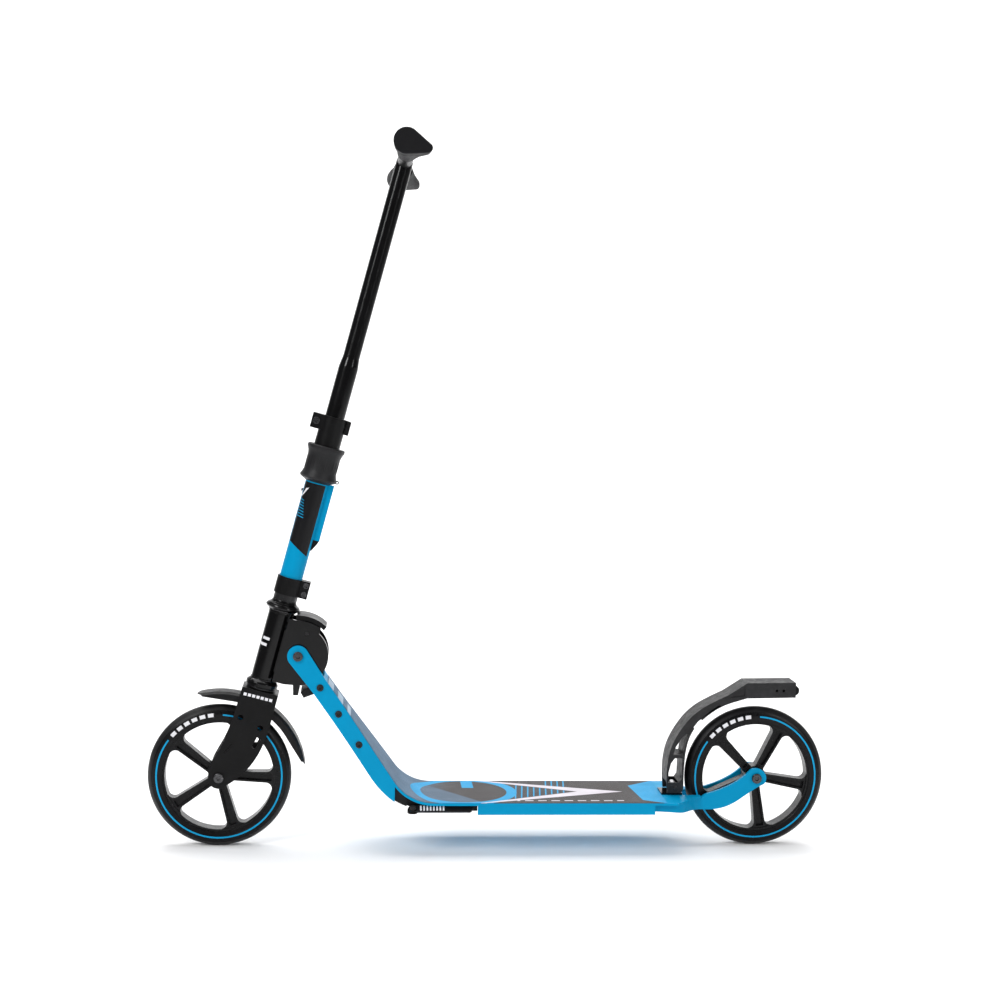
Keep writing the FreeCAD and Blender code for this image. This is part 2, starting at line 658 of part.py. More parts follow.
def grip_outline(y, lead, radius, reach, tip_radius, drop):
    """Teardrop in the (r, s) plane: the hull of a circle round the bar and a smaller one behind it."""
    centre = V(-lead, y, bar_height - drop)
    tip = V(reach - tip_radius, y, bar_height - drop * 1.9)
    span = tip - centre
    lean = math.atan2(span.z, span.x)
    spread = math.acos((radius - tip_radius) / span.Length)

    def on_circle(middle, size, angle):
        return middle + V(size * math.cos(angle), 0, size * math.sin(angle))

    upper = lean + spread
    lower = lean - spread
    edges = [Part.Arc(on_circle(centre, radius, upper), on_circle(centre, radius, lean + math.pi),
                      on_circle(centre, radius, lower)).toShape(),
             Part.LineSegment(on_circle(centre, radius, lower), on_circle(tip, tip_radius, lower)).toShape(),
             Part.Arc(on_circle(tip, tip_radius, lower), on_circle(tip, tip_radius, lean),
                      on_circle(tip, tip_radius, upper)).toShape(),
             Part.LineSegment(on_circle(tip, tip_radius, upper), on_circle(centre, radius, upper)).toShape()]
    return Part.Wire(edges)


def grip_shape(side):
    """Soft grip with a palm wing that shrinks inwards along the bar."""
    outer = bar_half_length
    # distance from the bar's end, lead ahead of the bar, radius, wing reach, tip radius, drop below the bar
    stations = [(0.0, 3.9, 15.8, 29.6, 5.4, grip_drop), (1.6, 3.9, 17.3, 31.2, 6.4, grip_drop),
                (30.0, 3.0, 16.8, 30.0, 6.4, grip_drop), (76.0, 0.8, 14.8, 21.0, 8.0, 1.0),
                (112.0, 0.2, 14.0, 16.0, 11.0, 0.3), (grip_length, 0.1, 13.6, 14.4, 11.6, 0.2)]
    pieces = []
    for a, b in zip(stations, stations[1:]):
        wires = [grip_outline(side * (outer - a[0]), *a[1:]), grip_outline(side * (outer - b[0]), *b[1:])]
        pieces.append(Part.makeLoft(wires, True, True))
    solid = fuse_all(pieces)
    y0, y1 = sorted((side * (outer - grip_end_wall), side * (outer - grip_length - 2)))
    return solid.cut(cylinder_y(crossbar_radius, 0, bar_height, y0, y1))


# ---------------------------------------------------------------- folding head
def make_fold_housing():
    """Two cheek plates welded behind the head tube, with the pivot's core between them."""
    plates = []
    for side in (-1, 1):
        y0, y1 = sorted((side * housing_inner_y, side * housing_outer_y))
        disc = cylinder_y(housing_radius, pivot_r, pivot_s, y0, y1)
        dome = cylinder_y(housing_dome_radius, pivot_r, pivot_s, y0, y1)
        dome = dome.common(box(housing_front_r, 60, y0, y1, pivot_s + 33, pivot_s + 60))
        web = prism_y([(8, 148), (8, 241), (30, 241), (52, 228), (52, 152), (30, 148)], y0, y1)
        tab = prism_y([(42, 154), (53, 154), (54, 138), (47, 136)], y0, y1)
        plate = fuse_all([disc, dome, web, tab])
        plates.append(plate.cut(box(-60, housing_front_r, y0 - 1, y1 + 1, 100, 300)))
    core = cylinder_y(26, pivot_r, pivot_s, -housing_outer_y, housing_outer_y)
    core = core.cut(box(-60, housing_front_r, -60, 60, 100, 300))
    link = box(6, pivot_r, -14, 14, 160, 222)
    body = fuse_all(plates + [core, link])
    head_bore = cylinder(head_tube_radius, V(0, 0, 100), V(0, 0, 1), 200)
    body = body.cut(head_bore)
    body = body.cut(tube(27.0, 1.0, head_tube_top + 1.0, 260))
    body = body.cut(cylinder_y(pivot_bush_radius, pivot_r, pivot_s, -30, 30))
    body = body.cut(cylinder_y(lever_pin_radius, lever_pin_r, lever_pin_s, -30, 30))
    keep("fold_housing", on_column(body))
    bush_gap = pivot_bolt_radius + bearing_running_gap
    bushes = []
    for side in (-1, 1):
        y0, y1 = sorted((side * 8.0, side * (housing_outer_y + 2.5)))
        bush = cylinder_y(pivot_bush_radius, pivot_r, pivot_s, y0, y1)
        flange_y = sorted((side * housing_outer_y, side * (housing_outer_y + 2.5)))
        flange = cylinder_y(13.5, pivot_r, pivot_s, flange_y[0], flange_y[1])
        bush = bush.fuse(flange).removeSplitter()
        bushes.append(on_column(bush.cut(cylinder_y(bush_gap, pivot_r, pivot_s, -40, 40))))
    keep("pivot_bushes", bushes)
    pin = cylinder_y(lever_pin_radius, lever_pin_r, lever_pin_s, -housing_outer_y, housing_outer_y)
    keep("fold_lever_pin", on_column(pin))


def make_fold_lever():
    """Cap over the top of the housing: a curved sheet with two skirts, turning on its pin."""
    half = housing_outer_y
    zone = prism_y([(pivot_r, pivot_s), (18, 258), (45, 262), (70, 249), (62, 231)], -half, half)
    shell = cylinder_y(lever_outer_radius, pivot_r, pivot_s, -half, half)
    hollow = cylinder_y(lever_inner_radius, pivot_r, pivot_s, -half - 1, half + 1)
    between = cylinder_y(lever_outer_radius - lever_sheet, pivot_r, pivot_s,
                         -housing_inner_y, housing_inner_y)
    cap = shell.cut(hollow).cut(between).common(zone)
    web = prism_y([(38, lever_pin_s), (36, 248.9), (54, 246.2), (48, lever_pin_s)], -7, 7)
    boss = cylinder_y(6.0, lever_pin_r, lever_pin_s, -7, 7)
    lever = fuse_all([cap, web, boss])
    lever = lever.cut(cylinder_y(lever_pin_radius + bearing_running_gap, lever_pin_r, lever_pin_s, -30, 30))
    lever = lever.cut(cylinder(27.5, V(0, 0, 235), V(0, 0, 1), 40))
    keep("fold_lever", on_column(lever))
    coil = cylinder_y(5.2, lever_pin_r, lever_pin_s, 8.0, 17.0)
    coil = coil.cut(cylinder_y(lever_pin_radius, lever_pin_r, lever_pin_s, 7, 18))
    keep("fold_lever_spring", on_column(coil))


# ---------------------------------------------------------------- deck and neck
pivot = column_point(pivot_r, pivot_s)
neck_dx = math.cos(math.radians(neck_angle))
neck_dz = -math.sin(math.radians(neck_angle))
normal_x = -neck_dz
normal_z = neck_dx


def neck_point(along, above):
    return (pivot.x + along * neck_dx + above * normal_x, pivot.z + along * neck_dz + above * normal_z)


def bend_arc(level, offset, radius):
    """Tangent arc from the sloping neck line (offset above the pivot) to a level line."""
    centre_z = level + radius
    distance = offset + radius
    # centre lies `distance` off the pivot line, at height centre_z
    centre_x = pivot.x + (distance - (centre_z - pivot.z) * normal_z) / normal_x
    start = (centre_x - radius * normal_x, centre_z - radius * normal_z)
    half = math.radians(90 - neck_angle / 2)
    middle = (centre_x - radius * math.cos(half), centre_z - radius * math.sin(half))
    return start, middle, (centre_x, level)


def side_profile(top_offset, top_level, low_offset, low_level, end_x):
    """Closed XZ face of the bent deck between an upper and a lower line."""
    t0, t1, t2 = bend_arc(top_level, top_offset, upper_bend_radius + (deck_top - top_level))
    b0, b1, b2 = bend_arc(low_level, low_offset, lower_bend_radius)
    head_top = neck_point(0, neck_end_radius)
    head_low = neck_point(0, -neck_end_radius)
    head_far = neck_point(-neck_end_radius, 0)
    join_top = neck_point(neck_straight_start, top_offset)
    join_low = neck_point(neck_straight_start, low_offset)

    def at(p):
        return V(p[0], 0, p[1])

    edges = [
        Part.Arc(at(head_low), at(head_far), at(head_top)).toShape(),
        Part.LineSegment(at(head_top), at(join_top)).toShape(),
        Part.LineSegment(at(join_top), at(t0)).toShape(),
        Part.Arc(at(t0), at(t1), at(t2)).toShape(),
        Part.LineSegment(at(t2), V(end_x, 0, top_level)).toShape(),
        Part.LineSegment(V(end_x, 0, top_level), V(end_x, 0, low_level)).toShape(),
        Part.LineSegment(V(end_x, 0, low_level), at(b2)).toShape(),
        Part.Arc(at(b2), at(b1), at(b0)).toShape(),
        Part.LineSegment(at(b0), at(join_low)).toShape(),
        Part.LineSegment(at(join_low), at(head_low)).toShape(),
    ]
    return Part.Face(Part.Wire(edges))


floor_below = -100.0
sheet_reach = -60.0


def under_sheet_profile(gap):
    """XZ face of all that lies more than `gap` under the deck's top surface."""
    level = deck_top - gap
    offset = neck_half_depth - gap
    t0, t1, t2 = bend_arc(level, offset, upper_bend_radius + gap)
    head = neck_point(sheet_reach, offset)
    end_x = rear_x + 60
    front_end = head[0] - 120

    def at(p):
        return V(p[0], 0, p[1])

    edges = [
        Part.LineSegment(V(front_end, 0, floor_below), V(front_end, 0, head[1])).toShape(),
        Part.LineSegment(V(front_end, 0, head[1]), at(head)).toShape(),
        Part.LineSegment(at(head), at(t0)).toShape(),
        Part.Arc(at(t0), at(t1), at(t2)).toShape(),
        Part.LineSegment(at(t2), V(end_x, 0, level)).toShape(),
        Part.LineSegment(V(end_x, 0, level), V(end_x, 0, floor_below)).toShape(),
        Part.LineSegment(V(end_x, 0, floor_below), V(front_end, 0, floor_below)).toShape(),
    ]
    return Part.Face(Part.Wire(edges))


def centred(face, half):
    solid = face.extrude(V(0, 2 * half, 0))
    solid.translate(V(0, -half, 0))
    return solid


def plan_prism(inset, end_x, tapered_tail):
    """Plan outline of neck, flare and deck, drawn in by inset, as a tall prism."""
    narrow = neck_outer_y - inset
    wide = deck_half_width - inset
    x0 = front_x + 60
    x1 = front_x + 150
    x2 = front_x + 268
    flare = [V(x1, narrow, 0), V(x1 + 24, narrow + 3.0, 0), V(x1 + 59, (narrow + wide) / 2, 0),
             V(x2 - 24, wide - 3.0, 0), V(x2, wide, 0)]
    curve = Part.BSplineCurve()
    curve.interpolate(Points=flare, InitialTangent=V(1, 0, 0), FinalTangent=V(1, 0, 0))
    side_edges = [Part.LineSegment(V(x0, narrow, 0), flare[0]).toShape(), curve.toShape()]
    if tapered_tail:
        tail = [V(x2, wide, 0), V(front_x + 656, wide, 0), V(front_x + 671, 51.5, 0),
                V(front_x + 685, 34, 0), V(end_x, 25.5, 0)]
    else:
        tail = [V(x2, wide, 0), V(end_x, wide, 0)]
    for a, b in zip(tail, tail[1:]):
        side_edges.append(Part.LineSegment(a, b).toShape())
    far = Part.Wire(side_edges)
    near = far.mirror(V(0, 0, 0), V(0, 1, 0))
    caps = [Part.LineSegment(V(x0, narrow, 0), V(x0, -narrow, 0)).toShape(),
            Part.LineSegment(V(end_x, tail[-1].y, 0), V(end_x, -tail[-1].y, 0)).toShape()]
    wire = Part.Wire(Part.__sortEdges__(far.Edges + near.Edges + caps))
    return Part.Face(wire).extrude(V(0, 0, 400))


def make_deck():
    outside = centred(side_profile(neck_half_depth, deck_top, -neck_half_depth, deck_bottom,
                                   deck_sheet_end_x), 80)
    body = outside.common(plan_prism(0, deck_sheet_end_x, True))
    hollow = centred(under_sheet_profile(sheet_thickness), 80)
    body = body.cut(hollow.common(plan_prism(wall_thickness, rear_x + 60, False)))
    # nothing spans the walls beside the folding head
    clear = centred(under_sheet_profile(-20), 80)
    head_zone = cylinder_y(neck_sheet_start, pivot.x, pivot.z, -neck_inner_y, neck_inner_y)
    body = body.cut(head_zone.common(clear))
    body = body.cut(box(tyre_slot_x, rear_x, -tyre_slot_half, tyre_slot_half, 20, 140))
    # the walls stop before the sheet does
    body = body.cut(box(deck_wall_end_x, rear_x, -90, 90, 20, deck_top - sheet_thickness))
    notch_box = box(notch_front_x, notch_rear_x, -90, -notch_inner_y, 20, 140)
    body = body.cut(centred(under_sheet_profile(sheet_thickness), 90).common(notch_box))
    body = body.cut(cylinder_y(pivot_bolt_radius, pivot.x, pivot.z, -60, 60))
    for x, z in neck_screw_places():
        seat = half_width_at(x) - neck_screw_inset
        body = body.cut(cylinder_y(neck_screw_head_radius, x, z, seat, 90))
        body = body.cut(cylinder_y(neck_screw_head_radius, x, z, -90, -seat))
    keep("deck", body)
    make_tape()


def neck_screw_places():
    return [neck_point(along, 0) for along in (55.0, 101.0, 152.0)]


def half_width_at(x):
    """Half width of the deck's outside at world x, from the plan outline."""
    face = plan_prism(0, deck_sheet_end_x, True)
    line = Part.LineSegment(V(x, 0, 100), V(x, 90, 100)).toShape()
    return face.common(line).BoundBox.YMax


def make_tape():
    upper = centred(side_profile(neck_half_depth + tape_thickness, deck_top + tape_thickness,
                                 -neck_half_depth, deck_bottom, tape_end_x), 80)
    body = upper.common(plan_prism(2.2, tape_end_x, False))
    body = body.cut(centred(under_sheet_profile(0), 90))
    head_zone = cylinder_y(neck_straight_start + 2.0, pivot.x, pivot.z, -60, 60)
    keep("grip_tape", body.cut(head_zone))


def make_neck_screws():
    screws = []
    for x, z in neck_screw_places():
        width = half_width_at(x)
        for side in (-1, 1):
            screws.append(socket_head(x, z, side * (width - neck_screw_inset), side,
                                      neck_screw_head_radius, 3.4))
    keep("neck_screws", screws)


def make_fold_stop():
    """Block between the neck walls that the folding head rests against when it stands up."""
    corners = [(45.0, -27.0), (54.0, -28.0), (58.0, -13.0), (58.0, 4.0), (47.0, 6.0), (45.0, -13.0)]
    outline = [neck_point(along, above) for along, above in corners]
    block = prism_y(outline, -neck_inner_y, neck_inner_y)
    swing = cylinder_y(housing_radius + 1.2, pivot.x, pivot.z, -40, 40)
    keep("fold_stop_block", block.cut(swing))


def make_pivot_bolt():
    keep("pivot_bolt", cylinder_y(pivot_bolt_radius, pivot.x, pivot.z, -neck_outer_y, neck_outer_y))
    caps = []
    for side in (-1, 1):
        caps.append(socket_head(pivot.x, pivot.z, side * neck_outer_y, side, 7.0, 3.5))
    keep("pivot_bolt_caps", caps)


def parallel_curve(curve, distance):
    """Curve that runs at a distance to the right of a plan curve drawn towards +X."""
    points = []
    count = 9
    for k in range(count):
        u = curve.FirstParameter + (curve.LastParameter - curve.FirstParameter) * k / (count - 1)
        tangent = curve.tangent(u)[0]
        points.append(curve.value(u) + V(tangent.y, -tangent.x, 0) * distance)
    result = Part.BSplineCurve()
    result.interpolate(Points=points, InitialTangent=V(1, 0, 0), FinalTangent=V(1, 0, 0))
    return result


def make_rear_arms():
    """Bent plates from inside the deck walls in to the rear axle."""
    under_sheet = deck_top - sheet_thickness - 0.3
    top = [V(deck_sheet_end_x + 0.3, 0, under_sheet), V(deck_sheet_end_x + 4, 0, 77.0),
           V(front_x + 712, 0, 81.5), V(front_x + 728, 0, 87.0), V(front_x + 750, 0, 98.0),
           V(front_x + 768, 0, 112.5)]
    low = [V(rear_x + 11.5, 0, axle_z - 8.5), V(front_x + 766, 0, 79.5), V(front_x + 739, 0, 62.5),
           V(front_x + 712, 0, 56.5), V(front_x + 684, 0, 58.5), V(front_x + 650, 0, 61.5),
           V(deck_wall_end_x - 40, 0, 61.5)]
    tip_a = V(rear_x - 2.0, 0, axle_z + 14.3)
    tip_b = V(rear_x + 14.4, 0, axle_z + 2.0)
    edges = [curve_through(top),
             Part.Arc(top[-1], V(rear_x - 6.5, 0, axle_z + 13.6), tip_a).toShape(),
             Part.Arc(tip_a, V(rear_x + 9.5, 0, axle_z + 10.6), tip_b).toShape(),
             Part.Arc(tip_b, V(rear_x + 14.0, 0, axle_z - 4.0), low[0]).toShape(),
             curve_through(low),
             Part.LineSegment(low[-1], V(low[-1].x, 0, under_sheet)).toShape(),
             Part.LineSegment(V(low[-1].x, 0, under_sheet), top[0]).toShape()]
    side = centred(Part.Face(Part.Wire(edges)), 80)
    outer = deck_half_width - 9.0
    inner_end = plate_outer_y
    thickness = plate_outer_y - plate_inner_y
    bend_from = V(front_x + 655, outer, 0)
    bend_to = V(front_x + 706, inner_end, 0)
    bend = Part.BSplineCurve()
    bend.interpolate(Points=[bend_from, V(front_x + 671, 51, 0), V(front_x + 685, 33.5, 0),
                             V(front_x + 695, 25.5, 0), bend_to],
                     InitialTangent=V(1, 0, 0), FinalTangent=V(1, 0, 0))
    inside = parallel_curve(bend, thickness)
    x_start = deck_wall_end_x - 60
    x_end = rear_x + 40
    outline = [V(bend_to.x, inner_end, 0), V(x_end, inner_end, 0),
               V(x_end, inner_end - thickness, 0), V(bend_to.x, inner_end - thickness, 0)]
    tail = [V(bend_from.x, outer - thickness, 0), V(x_start, outer - thickness, 0),
            V(x_start, outer, 0), V(bend_from.x, outer, 0)]
    edges = [bend.toShape(), inside.toShape()]
    for run in (outline, tail):
        for start, end in zip(run, run[1:]):
            edges.append(Part.LineSegment(start, end).toShape())
    strip = Part.Face(Part.Wire(Part.__sortEdges__(edges))).extrude(V(0, 0, 200))
    arm = strip.common(side)
    arm = arm.cut(cylinder_y(axle_radius, rear_x, axle_z, -60, 60))
    keep("right_rear_arm", arm)
    keep("left_rear_arm", mirrored(arm))
    # a cross member ties both arms under the deck sheet
    member = box(deck_wall_end_x - 36, deck_wall_end_x + 4, -outer + thickness, outer - thickness, 64, 72.5)
    keep("arm_cross_member", member)


# ---------------------------------------------------------------- kickstand
def make_kickstand():
    axis = V(0, math.cos(math.radians(stand_splay)), -math.sin(math.radians(stand_splay)))
    centre = V(stand_x, stand_y, stand_z)

    def tilted(shape):
        """From a frame whose Y is the stand's pivot axis to the deck's frame."""
        placed = shape.copy()
        placed.rotate(V(0, 0, 0), V(1, 0, 0), -stand_splay)
        placed.translate(centre)
        return placed

    eye = cylinder(5.0, V(0, -2.5, 0), V(0, 1, 0), 5.0)
    bar = box(0, stand_length - 4, -2.5, 2.5, -stand_half_depth, stand_half_depth)
    toe = cylinder(stand_half_depth, V(stand_length - 4, -2.5, 0), V(0, 1, 0), 5.0)
    leg = fuse_all([eye, bar, toe])
    ribs = []
    for k in range(8):
        ribs.append(box(10 + 4.6 * k, 12.4 + 4.6 * k, -3.2, -2.4, -3.8, 3.8))
    leg = leg.multiFuse(ribs).removeSplitter()
    bore = cylinder(stand_pin_radius + bearing_running_gap, V(0, -10, 0), V(0, 1, 0), 20)
    keep("kickstand_leg", tilted(leg.cut(bore)))
    pin = cylinder(stand_pin_radius, V(0, -4.2, 0), V(0, 1, 0), 13.0)
    head = cylinder(4.2, V(0, -5.6, 0), V(0, 1, 0), 2.7)
    keep("kickstand_bolt", tilted(pin.fuse(head).removeSplitter()))
    # cover plate that fills the notch in the wall, with the boss that the stand turns on
    profile = under_sheet_profile(sheet_thickness + 0.1)
    plate = profile.extrude(V(0, 3.0, 0))
    plate.translate(V(0, -notch_inner_y, 0))
    plate = plate.common(box(notch_front_x + 0.1, notch_rear_x - 0.1, -80, -40, 64.0, 120))
    outside = centred(side_profile(neck_half_depth, deck_top, -neck_half_depth, 64.0, deck_sheet_end_x), 80)
    plate = plate.common(outside)
    boss = tilted(cylinder(7.5, V(0, 3.0, 0), V(0, 1, 0), 12.0))
    boss = boss.common(box(stand_x - 20, stand_x + 20, -80, -40, 61.0, deck_top - sheet_thickness - 0.2))
    front_cheek = box(notch_front_x + 0.1, stand_x - 9.0, -deck_half_width + 2.5, -notch_inner_y, 64.0, 110)
    front_cheek = front_cheek.common(centred(under_sheet_profile(sheet_thickness + 0.1), 80))
    front_cheek = front_cheek.common(outside)
    front_cheek = front_cheek.common(plan_prism(2.0, rear_x, False))
    bracket = fuse_all([plate, boss, front_cheek])
    bracket = bracket.cut(tilted(cylinder(stand_pin_radius, V(0, -10, 0), V(0, 1, 0), 18.8)))
    bracket = bracket.cut(tilted(box(-8.5, stand_length + 6, -6.0, 2.8, -60.0, 5.2)))
    keep("kickstand_bracket", bracket)


# ---------------------------------------------------------------- rear brake
def brake_side_face():
    """XZ face of the brake: a curved arm that rises over the tyre, and the straight pedal."""
    outer = [V(front_x + 648, 0, 80), V(front_x + 646.5, 0, 104), V(front_x + 650, 0, 140),
             V(front_x + 666, 0, 174), V(front_x + 688, 0, 199), V(front_x + 712, 0, 214),
             V(front_x + 733, 0, 224)]
    inner = [V(front_x + 740, 0, 213.5), V(front_x + 722, 0, 206), V(front_x + 700, 0, 190.5),
             V(front_x + 683, 0, 171), V(front_x + 674.5, 0, 146), V(front_x + 672, 0, 120),
             V(front_x + 671.5, 0, 100), V(front_x + 671.5, 0, 86)]
    heel = V(front_x + 668, 0, 80)
    hump = V(front_x + 762, 0, 242.5)
    tail_top = V(front_x + 834, 0, 243.5)
    tail_low = V(front_x + 834, 0, 221.5)
    belly = V(front_x + 762, 0, 220.0)
    edges = [curve_through(outer),
             Part.LineSegment(outer[-1], hump).toShape(),
             Part.LineSegment(hump, tail_top).toShape(),
             Part.LineSegment(tail_top, tail_low).toShape(),
             Part.LineSegment(tail_low, belly).toShape(),
             Part.LineSegment(belly, inner[0]).toShape(),
             curve_through(inner),
             Part.LineSegment(inner[-1], heel).toShape(),
             Part.LineSegment(heel, outer[0]).toShape()]
    return Part.Face(Part.Wire(edges))


def make_brake():
    """One moulding: an open frame with two windows, a recessed web above them, and the pedal."""
    solid = centred(brake_side_face(), brake_half_width)
    # room for the bracket's ears and the spring round the pin
    solid = solid.cut(box(front_x + 640, front_x + 674, -brake_ear_room, brake_ear_room, 70, 95.5))
    windows = [
        [(front_x + 649.4, 95.5), (front_x + 649.2, 110), (front_x + 652.5, 124), (front_x + 658, 131.5),
         (front_x + 669, 131.5), (front_x + 668.6, 113), (front_x + 668.4, 101), (front_x + 664.5, 95.5)],
        [(front_x + 655.5, 136.5), (front_x + 659, 148), (front_x + 667.5, 162), (front_x + 674, 167.5),
         (front_x + 678, 166.5), (front_x + 673.5, 155), (front_x + 670.9, 144), (front_x + 670.2, 136.5)],
    ]
    for outline in windows:
        solid = solid.cut(prism_y(outline, -40, 40))
    recesses = [
        ([(front_x + 680.5, 172), (front_x + 690, 185), (front_x + 709, 202), (front_x + 721, 210),
          (front_x + 724.5, 208.5), (front_x + 702, 193.5), (front_x + 685.5, 175)], brake_web),
        ([(front_x + 737, 221), (front_x + 759, 236.5), (front_x + 759, 223)], brake_half_width - 1.6),
    ]
    for outline, keep_half in recesses:
        for side in (-1, 1):
            y0, y1 = sorted((side * (brake_half_width + 1), side * keep_half))
            solid = solid.cut(prism_y(outline, y0, y1))
    # seat of the rubber pedal insert, and the hollow below it, open towards the tyre
    solid = solid.cut(box(front_x + 768, front_x + 840, -insert_half, insert_half, insert_bottom, insert_top))
    solid = solid.cut(prism_y([(front_x + 768, 212), (front_x + 768, 223.5), (front_x + 826, 223.5),
                               (front_x + 826, 212)], -brake_ear_room, brake_ear_room))
    solid = solid.cut(cylinder_y(brake_pin_radius + bearing_running_gap, brake_pin_x, brake_pin_z, -40, 40))
    for x in (front_x + 806, front_x + 816):
        solid = solid.cut(cylinder_y(2.0, x, 231.5, -40, 40))
    keep("brake_fender", solid)


def make_brake_hardware():
    base = box(front_x + 640, front_x + 671, -16.5, 16.5, deck_top, deck_top + 3.0)
    ears = []
    for side in (-1, 1):
        y0, y1 = sorted((side * 12.0, side * 16.5))
        ear = prism_y([(brake_pin_x - 6.3, deck_top + 2), (brake_pin_x - 5.2, 93.0),
                       (brake_pin_x + 5.2, 93.0), (brake_pin_x + 8.5, deck_top + 2)], y0, y1)
        ears.append(ear)
    bracket = fuse_all([base] + ears)
    bracket = bracket.cut(cylinder_y(brake_pin_radius, brake_pin_x, brake_pin_z, -40, 40))
    keep("brake_bracket", bracket)
    keep("brake_pin", cylinder_y(brake_pin_radius, brake_pin_x, brake_pin_z,
                                 -brake_half_width - 1.5, brake_half_width + 1.5))
    coil = cylinder_y(5.4, brake_pin_x, brake_pin_z, -9, 9)
    keep("brake_spring", coil.cut(cylinder_y(brake_pin_radius, brake_pin_x, brake_pin_z, -10, 10)))
    insert = box(front_x + 768, front_x + 833, -insert_half, insert_half, insert_bottom, insert_top)
    nose = cylinder_y((insert_top - insert_bottom) / 2, front_x + 833, (insert_top + insert_bottom) / 2,
                      -insert_half, insert_half)
    keep("brake_pedal_insert", insert.fuse(nose).removeSplitter())


def build_all():
    make_wheel("front", front_x, front_spoke_angle)
    make_wheel("rear", rear_x, rear_spoke_angle)
    make_axle("front", front_x)
    make_axle("rear", rear_x)
    make_fork()
    make_front_fender()
    make_headset()
    make_stem()
    make_lower_clamp()
    make_rubber_sleeve()
    make_qr_clamp()
    make_handlebar()
    make_fold_housing()
    make_fold_lever()
    make_deck()
    make_neck_screws()
    make_fold_stop()
    make_pivot_bolt()
    make_rear_arms()
    make_kickstand()
    make_brake()
    make_brake_hardware()


build_all()
for name, shape in parts.items():
    shape.exportStep("parts/" + name + ".step")
    print(name, "solids", len(shape.Solids), "valid", shape.isValid(), "volume", round(shape.Volume))
print(len(parts), "nodes")
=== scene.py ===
import bpy
import bmesh
import json
import math
from mathutils import Matrix, Vector


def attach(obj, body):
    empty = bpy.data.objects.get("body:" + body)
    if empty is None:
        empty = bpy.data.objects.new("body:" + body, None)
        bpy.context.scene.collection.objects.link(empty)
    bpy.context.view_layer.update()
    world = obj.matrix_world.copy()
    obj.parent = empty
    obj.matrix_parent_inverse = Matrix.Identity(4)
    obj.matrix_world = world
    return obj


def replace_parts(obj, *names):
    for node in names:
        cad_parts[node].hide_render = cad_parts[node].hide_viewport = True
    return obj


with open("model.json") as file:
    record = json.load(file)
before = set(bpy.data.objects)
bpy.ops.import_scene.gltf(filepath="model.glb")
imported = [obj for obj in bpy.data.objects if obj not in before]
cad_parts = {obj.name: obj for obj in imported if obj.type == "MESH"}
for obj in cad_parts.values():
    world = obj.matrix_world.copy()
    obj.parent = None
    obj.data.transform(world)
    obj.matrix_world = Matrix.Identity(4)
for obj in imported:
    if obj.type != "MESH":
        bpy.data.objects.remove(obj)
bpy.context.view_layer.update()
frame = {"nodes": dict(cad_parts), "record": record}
nodes = frame["nodes"]

# ------------------------------------------------------------------ frame of the steering column
TILT = math.radians(14.5)
SIN, COS = math.sin(TILT), math.cos(TILT)
WHEELBASE = 0.779
FRONT_X, REAR_X, AXLE_Z = -WHEELBASE / 2, WHEELBASE / 2, 0.1025
COL_X, COL_Z = FRONT_X + 0.0245, AXLE_Z


def col(r, s, y=0.0):
    """Point at r behind the steering axis and s up along it, both in millimetres."""
    r, s = r / 1000, s / 1000
    return Vector((COL_X + r * COS + s * SIN, y / 1000, COL_Z - r * SIN + s * COS))



